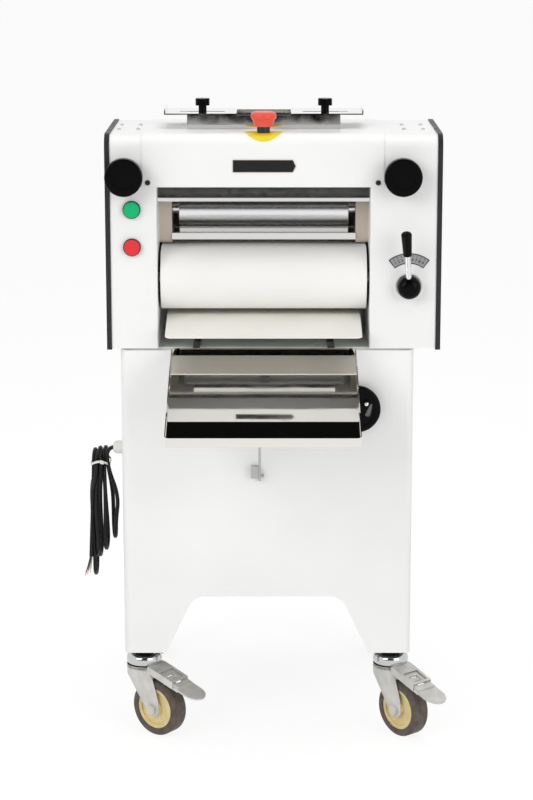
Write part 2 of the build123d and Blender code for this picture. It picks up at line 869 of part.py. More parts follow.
# Drums of the belt, on shafts that run in the columns' inner walls
def make_drum(y, z):
    """Drum across the opening, with its shaft."""
    half_shaft = opening_width / 2 + column_wall + drum_reach
    with BuildPart() as drum:
        with BuildSketch(Plane.YZ.offset(centre_x - drum_width / 2)):
            with Locations((y, z)):
                Circle(drum_diameter / 2)
        extrude(amount=drum_width)
        chamfer(drum.edges().filter_by(GeomType.CIRCLE), roller_chamfer)
        for end_x, inwards in ((centre_x - drum_width / 2, 1), (centre_x + drum_width / 2, -1)):
            with BuildSketch(Plane.YZ.offset(end_x)):
                with Locations((y, z)):
                    Circle(drum_diameter / 2 - drum_wall)
            extrude(amount=inwards * (drum_width - drum_web) / 2, mode=Mode.SUBTRACT)
        with BuildSketch(Plane.YZ.offset(centre_x - half_shaft)):
            with Locations((y, z)):
                Circle(drum_shaft / 2)
        extrude(amount=2 * half_shaft)
    return drum.part


def make_pulley(y, z, groove_radius):
    """Grooved pulley of the belt drive."""
    with BuildPart() as pulley:
        with BuildSketch(Plane.YZ.offset(pulley_x)):
            with Locations((y, z)):
                Circle(groove_radius)
        extrude(amount=pulley_width)
        for flange_x in (pulley_x, pulley_x + pulley_width - pulley_flange):
            with BuildSketch(Plane.YZ.offset(flange_x)):
                with Locations((y, z)):
                    Circle(groove_radius + pulley_groove)
            extrude(amount=pulley_flange)
    return pulley.part


with BuildPart() as front_drum:
    add(make_drum(front_drum_y, drum_z))
    add(make_pulley(front_drum_y, drum_z, drum_pulley_radius))
save(front_drum.part, "front_drum")
save(make_drum(rear_drum_y, drum_z), "rear_drum")


# Motor shelf between the stand's side panels, folded down in front and behind
with BuildPart() as motor_shelf:
    with BuildSketch(Plane.YZ.offset(stand_left_x + 2 * sheet)):
        with BuildLine():
            Polyline(
                (motor_y - shelf_depth / 2, shelf_z - shelf_lip),
                (motor_y - shelf_depth / 2, shelf_z),
                (motor_y + shelf_depth / 2, shelf_z),
                (motor_y + shelf_depth / 2, shelf_z - shelf_lip),
            )
            offset(amount=sheet, side=Side.RIGHT)
        make_face()
    extrude(amount=stand_width - 4 * sheet)
save(motor_shelf.part, "motor_shelf")


# Motor: finned body with a fan cover, a foot on the shelf, a terminal box and the boss of its shaft
with BuildPart() as motor:
    with BuildSketch(Plane.YZ.offset(motor_face_x)):
        with Locations((motor_y, motor_z)):
            Circle(motor_diameter / 2)
    extrude(amount=-motor_length)
    with BuildSketch(Plane.YZ.offset(motor_face_x)):
        with Locations((motor_y, motor_z)):
            with PolarLocations(motor_diameter / 2, motor_fins):
                Rectangle(2 * motor_fin_height, motor_fin)
    extrude(amount=motor_fan_length - motor_length)
    with BuildSketch(Plane.YZ.offset(motor_face_x - motor_length)):
        with Locations((motor_y, motor_z)):
            Circle(motor_diameter / 2 + motor_fin_height)
    extrude(amount=motor_fan_length)
    with BuildSketch(Plane.YZ.offset(motor_face_x)):
        with Locations((motor_y, motor_z)):
            Circle(motor_boss / 2)
    extrude(amount=motor_boss_length)
    motor_middle_x = motor_face_x - (motor_length - motor_fan_length) / 2
    with BuildSketch(Plane.XY.offset(shelf_z)):
        with Locations((motor_middle_x, motor_y)):
            Rectangle(motor_foot[0], motor_foot[1])
    extrude(amount=motor_foot[2])
    with BuildSketch(Plane.XY.offset(shelf_z)):
        with Locations((motor_middle_x, motor_y)):
            Rectangle(motor_foot[0], motor_neck_depth)
    extrude(amount=motor_rise - motor_diameter / 4)
    with BuildSketch(Plane.XY.offset(motor_z)):
        with Locations((motor_middle_x, motor_y)):
            Rectangle(terminal_box[0], terminal_box[1])
    extrude(amount=terminal_box[2])
    with BuildSketch(Plane.YZ.offset(motor_face_x + motor_boss_length)):
        with Locations((motor_y, motor_z)):
            Circle(motor_shaft / 2 + fit)
    extrude(amount=-motor_shaft_seat - clear, mode=Mode.SUBTRACT)
save(motor.part, "motor")


# Motor pulley with the end of the motor shaft
with BuildPart() as motor_pulley:
    add(make_pulley(motor_y, motor_z, motor_pulley_radius))
    with BuildSketch(Plane.YZ.offset(motor_face_x + motor_boss_length - motor_shaft_seat)):
        with Locations((motor_y, motor_z)):
            Circle(motor_shaft / 2)
    extrude(amount=pulley_x + pulley_width - motor_face_x - motor_boss_length + motor_shaft_seat)
save(motor_pulley.part, "motor_pulley")


# Drive belt from the motor pulley up to the pulley of the front drum
drive_wheels = [(motor_y, motor_z, motor_pulley_radius), (front_drum_y, drum_z, drum_pulley_radius)]
with BuildPart() as drive_belt:
    for band, band_mode in ((drive_belt_thickness, Mode.ADD), (0, Mode.SUBTRACT)):
        with BuildSketch(Plane.YZ.offset(drive_slot_x - drive_belt_width / 2)):
            for wheel_y, wheel_height, groove_radius in drive_wheels:
                with Locations((wheel_y, wheel_height)):
                    Circle(groove_radius + clear + band)
            make_hull()
        extrude(amount=drive_belt_width, mode=band_mode)
save(drive_belt.part, "drive_belt")


# Rear guide: a curved sheet that turns the dough round the rear drum
with BuildPart() as rear_guide:
    with BuildSketch(Plane.YZ.offset(left_inner_x)):
        with BuildLine():
            CenterArc(
                (rear_drum_y, drum_z), belt_outer + guide_gap, guide_start_angle, guide_sweep_angle
            )
            offset(amount=guide_sheet, side=Side.RIGHT)
        make_face()
    extrude(amount=opening_width)
save(rear_guide.part, "rear_guide")


# Press board: a cream board below the belt, with an apron that leads out to the tray
board_rear_y = rear_drum_y - board_rear_inset
apron_y = front_drum_y - board_apron
apron_z = board_top_z - board_apron_drop
with BuildPart() as press_board:
    with BuildSketch(Plane.YZ.offset(centre_x - board_width / 2)):
        with BuildLine():
            Polyline(
                (apron_y, apron_z),
                (front_drum_y, board_top_z),
                (board_rear_y, board_top_z),
            )
            offset(amount=board_thickness, side=Side.RIGHT)
        make_face()
    extrude(amount=board_width)
    board_nose = press_board.faces().sort_by(Axis.Y)[0]
    nose_corners = board_nose.edges().sort_by(Axis.X)
    fillet([nose_corners[0], nose_corners[-1]], board_corner)
save(press_board.part, "press_board")


# Lifting frame: carriers under the board, four posts through the base plate and a bar frame over the cam
lift_frame_z = wheel_z + cam_radius + cam_play
with BuildPart() as press_lift_frame:
    for post_y in (front_post_y, rear_post_y):
        with Locations((centre_x, post_y, board_top_z - board_thickness)):
            Box(
                board_width - 2 * carrier_inset,
                carrier_depth,
                carrier_height,
                align=(Align.CENTER, Align.CENTER, Align.MAX),
            )
        with BuildSketch(Plane.XY.offset(lift_frame_z)):
            with Locations((centre_x - post_offset, post_y), (centre_x + post_offset, post_y)):
                Circle(post_diameter / 2)
        extrude(amount=board_top_z - board_thickness - carrier_height - lift_frame_z)
    with BuildSketch(Plane.XY.offset(lift_frame_z)):
        with Locations((centre_x - post_offset - lift_bar / 2, front_post_y)):
            Rectangle(
                wheel_x - centre_x + post_offset + lift_bar, lift_bar, align=(Align.MIN, Align.CENTER)
            )
        with Locations((centre_x, rear_post_y)):
            Rectangle(2 * post_offset + lift_bar, lift_bar)
        with Locations(
            (centre_x - post_offset, (front_post_y + rear_post_y) / 2),
            (centre_x + post_offset, (front_post_y + rear_post_y) / 2),
        ):
            Rectangle(lift_bar, rear_post_y - front_post_y)
    extrude(amount=lift_bar_height)
save(press_lift_frame.part, "press_lift_frame")


# Handwheel: dished black disc with tear-shaped holes and a crank stud, its shaft and the spiral cam
handwheel_front_y = stand_front_y - handwheel_gap - handwheel_thickness
with BuildPart() as handwheel:
    with BuildSketch(Plane.XZ.offset(-handwheel_front_y)):
        with Locations((wheel_x, wheel_z)):
            Circle(handwheel_diameter / 2)
    extrude(amount=-handwheel_thickness)
    fillet(handwheel.edges().filter_by(GeomType.CIRCLE), handwheel_edge)
    with BuildSketch(Plane.XZ.offset(-handwheel_front_y)):
        with Locations((wheel_x, wheel_z)):
            Circle(handwheel_dish / 2)
            Circle(handwheel_hub / 2, mode=Mode.SUBTRACT)
    extrude(amount=-handwheel_dish_depth, mode=Mode.SUBTRACT)
    for hole in range(tear_holes):
        with BuildSketch(Plane.XZ.offset(-handwheel_front_y)):
            with Locations((wheel_x, wheel_z)):
                for end_radius, end_angle, end_diameter in (tear_tip, tear_end):
                    with PolarLocations(end_radius, 1, start_angle=end_angle + hole * 360 / tear_holes):
                        Circle(end_diameter / 2)
            make_hull()
        extrude(amount=-handwheel_thickness, mode=Mode.SUBTRACT)
    with BuildSketch(Plane.XZ.offset(-handwheel_front_y - handwheel_dish_depth)):
        with Locations((wheel_x, wheel_z)):
            with PolarLocations(crank_radius, 1, start_angle=crank_angle):
                Circle(crank_diameter / 2)
    extrude(amount=handwheel_dish_depth + crank_height)
    with BuildSketch(Plane.XZ.offset(-handwheel_front_y - handwheel_thickness)):
        with Locations((wheel_x, wheel_z)):
            Circle(handwheel_hub / 2)
    extrude(amount=clear - handwheel_gap)
    with BuildSketch(Plane.XZ.offset(clear - stand_front_y)):
        with Locations((wheel_x, wheel_z)):
            Circle(handwheel_shaft / 2)
    extrude(amount=stand_front_y - clear - front_post_y - cam_width / 2)
    with BuildSketch(Plane.XZ.offset(cam_width / 2 - front_post_y)):
        cam_angles = [
            radians(cam_half_turn) * (2 * step / (cam_points - 1) - 1) for step in range(cam_points)
        ]
        cam_outline = [
            (
                wheel_x + (cam_radius - cam_rise * angle) * sin(angle),
                wheel_z + (cam_radius - cam_rise * angle) * cos(angle),
            )
            for angle in cam_angles
        ]
        with BuildLine():
            Spline(*cam_outline)
            Line(cam_outline[-1], cam_outline[0])
        make_face()
    extrude(amount=-cam_width)
save(handwheel.part, "handwheel")


# Casters: a pressed fork with its axle bolt, a core and a tyre
def caster_plane(x, y, heading):
    """Upright plane through a caster's wheel: first axis along its trail, second axis up."""
    turn = radians(heading)
    return Plane(origin=(x, y, 0), x_dir=(cos(turn), sin(turn), 0), z_dir=(sin(turn), -cos(turn), 0))


def make_fork(x, y, heading, trail):
    """Fork of a caster with its swivel ring, and the bolt that is its axle."""
    side = caster_plane(x, y, heading)
    fork_half = fork_gap / 2 + fork_sheet
    with BuildPart() as fork:
        with BuildSketch(side):
            with Locations((0, fork_top_z)):
                Rectangle(ring_diameter, fork_plate, align=(Align.CENTER, Align.MAX))
            with Locations((trail, axle_z)):
                Circle(fork_boss)
            make_hull()
        extrude(amount=fork_half, both=True)
        with BuildSketch(side):
            with Locations((trail, fork_top_z - fork_plate)):
                Rectangle(2 * wheel_diameter, fork_top_z, align=(Align.CENTER, Align.MAX))
        extrude(amount=fork_gap / 2, both=True, mode=Mode.SUBTRACT)
        with BuildSketch(side):
            with Locations((trail, axle_z)):
                Circle(axle_diameter / 2 + fit)
            with Locations(pedal_pivot):
                Circle(pedal_pin / 2 + fit)
        extrude(amount=fork_half, both=True, mode=Mode.SUBTRACT)
        with BuildSketch(Plane.XY.offset(fork_top_z)):
            with Locations((x, y)):
                Circle(ring_diameter / 2)
        extrude(amount=ring_height)
        fillet(fork.faces().sort_by(Axis.Z)[-1].edges(), ring_edge)
        with BuildSketch(Plane.XY.offset(fork_top_z + ring_height)):
            with Locations((x, y)):
                Circle(ring_recess / 2)
        extrude(amount=-ring_recess_depth, mode=Mode.SUBTRACT)
        with BuildSketch(Plane.XY.offset(fork_top_z - fork_plate)):
            with Locations((x, y)):
                Circle(stem_diameter / 2 + fit)
        extrude(amount=fork_plate + ring_height, mode=Mode.SUBTRACT)
        with BuildSketch(side):
            with Locations((trail, axle_z)):
                Circle(axle_diameter / 2)
        extrude(amount=fork_half + fit, both=True)
        for head_offset, head_height in (
            (fork_half + fit, axle_head_height),
            (-fork_half - fit, -axle_head_height),
        ):
            with BuildSketch(side.offset(head_offset)):
                with Locations((trail, axle_z)):
                    RegularPolygon(axle_head / 2, hex_sides, major_radius=False)
            extrude(amount=head_height)
    return fork.part


def make_core(x, y, heading, trail):
    """Core of a wheel: rim, web and a bored boss between the cheeks of the fork."""
    side = caster_plane(x, y, heading)
    with BuildPart() as core:
        with BuildSketch(side):
            with Locations((trail, axle_z)):
                Circle(core_diameter / 2)
                Circle(core_diameter / 2 - core_rim, mode=Mode.SUBTRACT)
        extrude(amount=tyre_width / 2 - tyre_chamfer / 2, both=True)
        with BuildSketch(side):
            with Locations((trail, axle_z)):
                Circle(core_diameter / 2 - core_rim)
        extrude(amount=core_web / 2, both=True)
        with BuildSketch(side):
            with Locations((trail, axle_z)):
                Circle(core_boss / 2)
        extrude(amount=fork_gap / 2 - clear, both=True)
        with BuildSketch(side):
            with Locations((trail, axle_z)):
                Circle(axle_diameter / 2 + fit)
        extrude(amount=fork_gap / 2, both=True, mode=Mode.SUBTRACT)
    return core.part


def make_tyre(x, y, heading, trail):
    """Tyre of a wheel, with chamfered shoulders."""
    side = caster_plane(x, y, heading)
    with BuildPart() as tyre:
        with BuildSketch(side):
            with Locations((trail, axle_z)):
                Circle(wheel_diameter / 2)
        extrude(amount=tyre_width / 2, both=True)
        chamfer(tyre.edges().filter_by(GeomType.CIRCLE), tyre_chamfer)
        with BuildSketch(side):
            with Locations((trail, axle_z)):
                Circle(core_diameter / 2 + fit)
        extrude(amount=tyre_width / 2, both=True, mode=Mode.SUBTRACT)
    return tyre.part


def make_pedal(x, y, heading):
    """Brake pedal: a channel with a window, a rounded tread under its end, a lug over the tyre and its pin."""
    side = caster_plane(x, y, heading)
    neck_half = fork_gap / 2 - clear
    slope = radians(pedal_slope)
    lug_top_z = pedal_crest[1] + (brake_lug_x - pedal_crest[0]) * sin(slope) / cos(slope) - pedal_sheet / 2
    up = Vector(0, 0, 1)
    arm_plane = Plane(
        origin=side.from_local_coords((*pedal_crest, 0)),
        x_dir=side.x_dir * cos(slope) + up * sin(slope),
        z_dir=up * cos(slope) - side.x_dir * sin(slope),
    )
    with BuildPart() as pedal:
        with BuildSketch(side):
            with BuildLine():
                Polyline(pedal_pivot, pedal_crest, (brake_lug_x, lug_top_z + pedal_sheet / 2))
                offset(amount=pedal_sheet, side=Side.RIGHT)
            make_face()
            with Locations(pedal_pivot):
                Circle(pedal_barrel / 2)
            with Locations((brake_lug_x, brake_lug_bottom_z)):
                Rectangle(brake_lug, lug_top_z - brake_lug_bottom_z, align=(Align.CENTER, Align.MIN))
        extrude(amount=neck_half, both=True)
        with BuildSketch(side):
            with Locations(pedal_pivot):
                Circle(pedal_pin / 2)
        extrude(amount=fork_gap / 2 + fork_sheet, both=True)
        with BuildSketch(arm_plane):
            Rectangle(pedal_arm, pedal_width, align=(Align.MIN, Align.CENTER))
        extrude(amount=-pedal_sheet)
        with BuildSketch(arm_plane):
            wall_offset = (pedal_width - pedal_sheet) / 2
            with Locations((0, -wall_offset), (0, wall_offset)):
                Rectangle(pedal_arm, pedal_sheet, align=(Align.MIN, Align.CENTER))
        extrude(amount=-pedal_wall)
        with BuildSketch(arm_plane.offset(-pedal_sheet)):
            with Locations((pedal_arm - spoon_lap, 0)):
                Rectangle(spoon_lap + spoon_straight, spoon_width, align=(Align.MIN, Align.CENTER))
            with Locations((pedal_arm + spoon_straight, 0)):
                Ellipse(spoon_round, spoon_width / 2)
        extrude(amount=-pedal_sheet)
        with BuildSketch(arm_plane):
            with Locations((pedal_arm - pedal_window_edge, 0)):
                Rectangle(*pedal_window, align=(Align.MAX, Align.CENTER))
        extrude(amount=-pedal_sheet, mode=Mode.SUBTRACT)
    return pedal.part


rear_caster = (rear_caster_y, rear_heading, 0)
caster_sides = (("left", left_caster_x, left_heading), ("right", right_caster_x, right_heading))
for side_name, caster_x, front_heading in caster_sides:
    front_caster = (front_caster_y, front_heading, caster_trail)
    save(make_fork(caster_x, *front_caster), f"{side_name}_caster_fork")
    save(make_pedal(caster_x, front_caster_y, front_heading), f"{side_name}_brake_pedal")
    save(make_core(caster_x, *front_caster), f"front_{side_name}_hub")
    save(make_tyre(caster_x, *front_caster), f"front_{side_name}_tyre")
    save(make_core(caster_x, *rear_caster), f"rear_{side_name}_hub")
    save(make_tyre(caster_x, *rear_caster), f"rear_{side_name}_tyre")


# Foot plates in the four legs, which the casters hang from
foot_corners = (
    (stand_left_x + 2 * sheet, left_caster_x, Align.MIN),
    (stand_right_x - 2 * sheet, right_caster_x, Align.MAX),
)

# Stems of the front casters: foot plate, nut and a flanged pin through the swivel ring
with BuildPart() as caster_stems:
    for corner_x, caster_x, corner_align in foot_corners:
        with BuildSketch(Plane.XY.offset(leg_bottom_z)) as foot:
            with Locations((corner_x, stand_front_y + sheet)):
                Rectangle(foot_plate_x, foot_plate_y, align=(corner_align, Align.MIN))
            fillet(foot.vertices().sort_by_distance((corner_x, stand_front_y + sheet, 0))[0], stand_bend)
        extrude(amount=foot_plate_thickness)
        nut_bottom_z = fork_top_z + ring_height - ring_recess_depth + clear
        with BuildSketch(Plane.XY.offset(nut_bottom_z)):
            with Locations((caster_x, front_caster_y)):
                RegularPolygon(stem_nut / 2, hex_sides)
        extrude(amount=leg_bottom_z - nut_bottom_z)
        with BuildSketch(Plane.XY.offset(fork_top_z - fork_plate - clear)):
            with Locations((caster_x, front_caster_y)):
                Circle(stem_diameter / 2)
        extrude(amount=leg_bottom_z - fork_top_z + fork_plate + clear)
        with BuildSketch(Plane.XY.offset(fork_top_z - fork_plate - clear)):
            with Locations((caster_x, front_caster_y)):
                Circle(stem_flange / 2)
        extrude(amount=-stem_flange_height)
save(caster_stems.part, "caster_stems")

# Fixed forks of the rear casters, on foot plates of their own
with BuildPart() as rear_caster_forks:
    for corner_x, caster_x, corner_align in foot_corners:
        add(make_fork(caster_x, *rear_caster))
        with BuildSketch(Plane.XY.offset(leg_bottom_z)) as foot:
            with Locations((corner_x, stand_rear_y - sheet)):
                Rectangle(foot_plate_x, foot_plate_y, align=(corner_align, Align.MAX))
            fillet(foot.vertices().sort_by_distance((corner_x, stand_rear_y - sheet, 0))[0], stand_bend)
        extrude(amount=foot_plate_thickness)
        with BuildSketch(Plane.XY.offset(fork_top_z)):
            with Locations((caster_x, rear_caster_y)):
                Circle(stem_nut / 2)
        extrude(amount=leg_bottom_z - fork_top_z)
save(rear_caster_forks.part, "rear_caster_forks")


# Roller guards: a slim polished bar across the opening and a scraper under the lower roller
with BuildPart() as roller_guards:
    with BuildSketch(Plane.YZ.offset(left_inner_x)):
        with Locations((guard_y + guard_depth / 2, guard_bottom_z + guard_height / 2)):
            RectangleRounded(guard_depth, guard_height, guard_edge)
    extrude(amount=opening_width)
    scraper_reach = roller_diameter / 2 + scraper_gap
    with BuildSketch(Plane.YZ.offset(left_inner_x + block_width)):
        with Locations((scraper_y, scraper_z)):
            Rectangle(scraper_bar, scraper_bar, align=(Align.MIN, Align.MIN))
        with BuildLine():
            Polyline(
                (scraper_y + scraper_bar, scraper_z),
                (
                    front_roller_y - scraper_reach * sin(radians(scraper_angle)),
                    lower_roller_z - scraper_reach * cos(radians(scraper_angle)),
                ),
                (scraper_y + scraper_bar / 2, scraper_z + scraper_bar),
                close=True,
            )
        make_face()
    extrude(amount=opening_width - 2 * block_width)
save(roller_guards.part, "roller_guards")


# Infeed chute: polished walls and a funnel to the upper rollers, with tabs that carry the guides
with BuildPart() as infeed_chute:
    with BuildSketch(Plane.YZ.offset(centre_x - chute_width / 2)):
        with BuildLine():
            Polyline(
                (chute_front_y, chute_top_z),
                (chute_front_y + chute_depth, chute_top_z),
                (chute_front_y + chute_depth, chute_top_z - chute_wall),
                (chute_front_y + neck_front + neck_depth, chute_bottom_z),
                (chute_front_y + neck_front, chute_bottom_z),
                (chute_front_y, chute_top_z - chute_wall),
                close=True,
            )
        make_face()
    extrude(amount=chute_width)
    ends = infeed_chute.faces().filter_by(Plane.XY).sort_by(Axis.Z)
    offset(amount=-sheet, openings=[ends[0], ends[-1]])
    with BuildSketch(Plane.XY.offset(chute_top_z - sheet)):
        tab_offset = (chute_width - tab_length) / 2
        with Locations((centre_x - tab_offset, chute_middle_y), (centre_x + tab_offset, chute_middle_y)):
            Rectangle(tab_length, chute_depth)
        with Locations((centre_x - star_offset, star_y), (centre_x + star_offset, star_y)):
            Circle(star_screw / 2 + fit, mode=Mode.SUBTRACT)
    extrude(amount=sheet)
save(infeed_chute.part, "infeed_chute")


# Infeed guides: slotted plates on the chute's tabs, bent down inside and up outside
def make_guide(side):
    """Guide of one side, -1 for the left and 1 for the right."""
    plate_z = chute_top_z + clear
    inner_x = centre_x + side * guide_inner
    inner_align = Align.MIN if side > 0 else Align.MAX
    outer_align = Align.MAX if side > 0 else Align.MIN
    with BuildPart() as guide:
        with BuildSketch(Plane.XY.offset(plate_z)):
            with Locations((inner_x, chute_middle_y)):
                Rectangle(guide_length, guide_depth, align=(inner_align, Align.CENTER))
            with Locations((centre_x + side * star_offset, star_y)):
                SlotCenterToCenter(2 * guide_travel, star_screw + 2 * clear, mode=Mode.SUBTRACT)
        extrude(amount=guide_plate)
        with BuildSketch(Plane.XY.offset(plate_z)):
            with Locations((inner_x, chute_middle_y)):
                Rectangle(guide_plate, guide_depth, align=(inner_align, Align.CENTER))
        extrude(amount=-guide_lip)
        fillet(guide.edges().filter_by(Axis.X).group_by(Axis.Z)[0], guide_corner)
        with BuildSketch(Plane.XY.offset(plate_z)):
            with Locations((inner_x + side * guide_length, chute_middle_y)):
                Rectangle(guide_plate, guide_depth, align=(outer_align, Align.CENTER))
        extrude(amount=guide_plate + guide_tab)
        fillet(guide.edges().filter_by(Axis.X).group_by(Axis.Z)[-1], guide_corner)
    return guide.part


save(make_guide(-1), "left_guide")
save(make_guide(1), "right_guide")


# Star knobs that clamp the guides
def make_star_knob(x):
    """Six-lobed knob on a collar, with its screw down through the guide's slot into the tab."""
    collar_z = chute_top_z + clear + guide_plate + clear
    screw_end_z = chute_top_z - star_screw_drop
    with BuildPart() as knob:
        with BuildSketch(Plane.XY.offset(screw_end_z)):
            with Locations((x, star_y)):
                Circle(star_screw / 2)
        extrude(amount=collar_z - screw_end_z)
        with BuildSketch(Plane.XY.offset(collar_z)):
            with Locations((x, star_y)):
                Circle(star_collar / 2)
        extrude(amount=star_collar_height)
        with BuildSketch(Plane.XY.offset(collar_z + star_collar_height)):
            with Locations((x, star_y)):
                Circle(star_diameter / 2)
                with PolarLocations(star_diameter / 2 + star_notch_out, star_lobes):
                    Circle(star_notch / 2, mode=Mode.SUBTRACT)
        extrude(amount=star_height)
        chamfer(knob.faces().sort_by(Axis.Z)[-1].edges(), star_edge)
    return knob.part


save(make_star_knob(centre_x - star_offset), "left_star_knob")
save(make_star_knob(centre_x + star_offset), "right_star_knob")


# Switch bodies: two bezels on the left column and the ribbed collar of the emergency stop on the hood
hood_top_z = head_top_z + sheet
with BuildPart() as switch_bodies:
    for switch_z in (start_z, stop_z):
        with BuildSketch(Plane.XZ.offset(bezel_height - front_y)):
            with Locations((button_x, switch_z)):
                Circle(bezel_diameter / 2)
        extrude(amount=-bezel_height)
        with BuildSketch(Plane.XZ.offset(bezel_height - front_y)):
            with Locations((button_x, switch_z)):
                Circle(button_diameter / 2 + clear)
        extrude(amount=bezel_floor - bezel_height, mode=Mode.SUBTRACT)
        with BuildSketch(Plane.XZ.offset(-front_y)):
            with Locations((button_x, switch_z)):
                Circle(barrel_diameter / 2)
        extrude(amount=-barrel_length)
        with BuildSketch(Plane.XZ.offset(bezel_floor - front_y)):
            with Locations((button_x, switch_z)):
                Circle(button_stem / 2 + fit)
        extrude(amount=-bezel_floor - barrel_length, mode=Mode.SUBTRACT)
    with BuildSketch(Plane.XY.offset(hood_top_z)):
        with Locations((centre_x, estop_y)):
            Circle(estop_collar / 2 - estop_rib / 2)
            with PolarLocations(estop_collar / 2 - estop_rib / 2, estop_ribs):
                Circle(estop_rib / 2)
    extrude(amount=estop_collar_height)
    with BuildSketch(Plane.XY.offset(hood_top_z)):
        with Locations((centre_x, estop_y)):
            Circle(estop_body / 2)
    extrude(amount=-estop_body_length)
    with BuildSketch(Plane.XY.offset(hood_top_z + estop_collar_height)):
        with Locations((centre_x, estop_y)):
            Circle(estop_stem / 2 + fit)
    extrude(amount=-estop_collar_height - estop_body_length, mode=Mode.SUBTRACT)
save(switch_bodies.part, "switch_bodies")


# Start and stop buttons: a cap in its bezel on a stem in the barrel
def make_button(z):
    """Cap and stem of one button."""
    cap_back_y = front_y - bezel_floor - button_travel - clear
    with BuildPart() as button:
        with BuildSketch(Plane.XZ.offset(button_height - cap_back_y)):
            with Locations((button_x, z)):
                Circle(button_diameter / 2)
        extrude(amount=-button_height)
        fillet(button.edges().filter_by(GeomType.CIRCLE).sort_by(Axis.Y)[0], button_edge)
        with BuildSketch(Plane.XZ.offset(-cap_back_y)):
            with Locations((button_x, z)):
                Circle(button_stem / 2)
        extrude(amount=cap_back_y - front_y - barrel_length / 2)
    return button.part


save(make_button(start_z), "start_button")
save(make_button(stop_z), "stop_button")


# Emergency stop: a red mushroom head that flares to a rounded rim, hollow over its collar
estop_bottom_z = hood_top_z + estop_collar_height
estop_plane = Plane(origin=(centre_x, estop_y, estop_bottom_z), x_dir=(1, 0, 0), z_dir=(0, -1, 0))
rim_radius = estop_diameter / 2
rim_top = estop_flare + estop_rim
with BuildPart() as estop_button:
    with BuildSketch(estop_plane):
        with BuildLine():
            Polyline((0, estop_height), (0, 0), (estop_neck / 2, 0))
            Spline((estop_neck / 2, 0), (rim_radius, estop_flare), tangents=((0, 1), (1, 1)))
            Line((rim_radius, estop_flare), (rim_radius, rim_top))
            Spline((rim_radius, rim_top), (0, estop_height), tangents=((0, 1), (-1, 0)))
        make_face()
    revolve(axis=Axis((centre_x, estop_y, estop_bottom_z), (0, 0, 1)))
    with BuildSketch(Plane.XY.offset(estop_bottom_z)):
        with Locations((centre_x, estop_y)):
            Circle(estop_collar / 2 + 2 * clear)
    extrude(amount=estop_travel + 2 * clear, mode=Mode.SUBTRACT)
    with BuildSketch(Plane.XY.offset(estop_bottom_z + estop_travel + 2 * clear)):
        with Locations((centre_x, estop_y)):
            Circle(estop_stem / 2)
    extrude(amount=-estop_travel - 2 * clear - estop_collar_height - estop_body_length / 2)
save(estop_button.part, "estop_button")


# Tray: a shallow polished pan that slopes down to the front, with two tongues that lie on the base plate
tray_rear_z = head_bottom_z - tray_drop
tray_fall = radians(tray_slope)
tray_plane = Plane(
    origin=(centre_x, tray_rear_y, tray_rear_z),
    x_dir=(1, 0, 0),
    z_dir=(0, -sin(tray_fall), cos(tray_fall)),
)
tongue_start_y = tray_rear_y - tray_rear_wall * sin(tray_fall) - tray_sheet / 4
with BuildPart() as tray:
    with BuildSketch(tray_plane) as tray_floor:
        Rectangle(tray_width, tray_length, align=(Align.CENTER, Align.MAX))
        fillet(tray_floor.vertices(), tray_corner)
    extrude(amount=tray_wall)
    tray_mouth = tray.faces().sort_by(Axis(tray_plane.origin, tray_plane.z_dir))[-1]
    offset(amount=-tray_sheet, openings=tray_mouth)
    with BuildSketch(Plane(origin=tray_plane.origin, x_dir=-tray_plane.y_dir, z_dir=(-1, 0, 0))):
        with BuildLine():
            Polyline((0, tray_rear_wall), (tray_length, tray_wall), (0, tray_wall), close=True)
        make_face()
    extrude(amount=tray_width / 2, both=True, mode=Mode.SUBTRACT)
    with BuildSketch(Plane.XY.offset(head_bottom_z + clear)):
        with Locations((centre_x - tongue_offset, tongue_start_y), (centre_x + tongue_offset, tongue_start_y)):
            Rectangle(tongue_width, tongue_end_y - tongue_start_y, align=(Align.CENTER, Align.MIN))
    extrude(amount=tongue_sheet)
save(tray.part, "tray")


# Tray stay: a thin strut from a block on the stand up to the underside of the tray
stay_foot = Vector(stay_x, stand_front_y - stay_block[1] / 2, stay_foot_z)
stay_play = clear + stay_diameter / 4
stay_top_z = tray_rear_z + (stay_top_y - tray_rear_y) * sin(tray_fall) / cos(tray_fall) - stay_play
stay_top = Vector(stay_x, stay_top_y, stay_top_z)
with BuildPart() as tray_stay:
    with Locations((stay_x - stay_diameter / 2, stand_front_y, stay_foot_z + stay_block_rise)):
        Box(*stay_block, align=(Align.MAX, Align.MAX, Align.MIN))
    with BuildSketch(Plane.YZ.offset(stay_x - stay_diameter / 2)):
        with Locations((stay_foot.Y, stay_foot_z + stay_bolt_rise)):
            Circle(stay_bolt / 2)
    extrude(amount=stay_bolt_length)
    with BuildSketch(Plane(origin=stay_foot, x_dir=(1, 0, 0), z_dir=stay_top - stay_foot)):
        Circle(stay_diameter / 2)
    extrude(amount=(stay_top - stay_foot).length)
save(tray_stay.part, "tray_stay")


# Cord gland on the left side of the stand
gland_x = stand_left_x + sheet
with BuildPart() as cord_gland:
    with BuildSketch(Plane.YZ.offset(gland_x)):
        with Locations((gland_y, gland_z)):
            RegularPolygon(gland_nut / 2, hex_sides)
    extrude(amount=-gland_nut_height)
    with BuildSketch(Plane.YZ.offset(gland_x)):
        with Locations((gland_y, gland_z)):
            Circle(gland_diameter / 2)
    extrude(amount=-gland_length)
    fillet(cord_gland.faces().sort_by(Axis.X)[0].edges(), gland_edge)
save(cord_gland.part, "cord_gland")


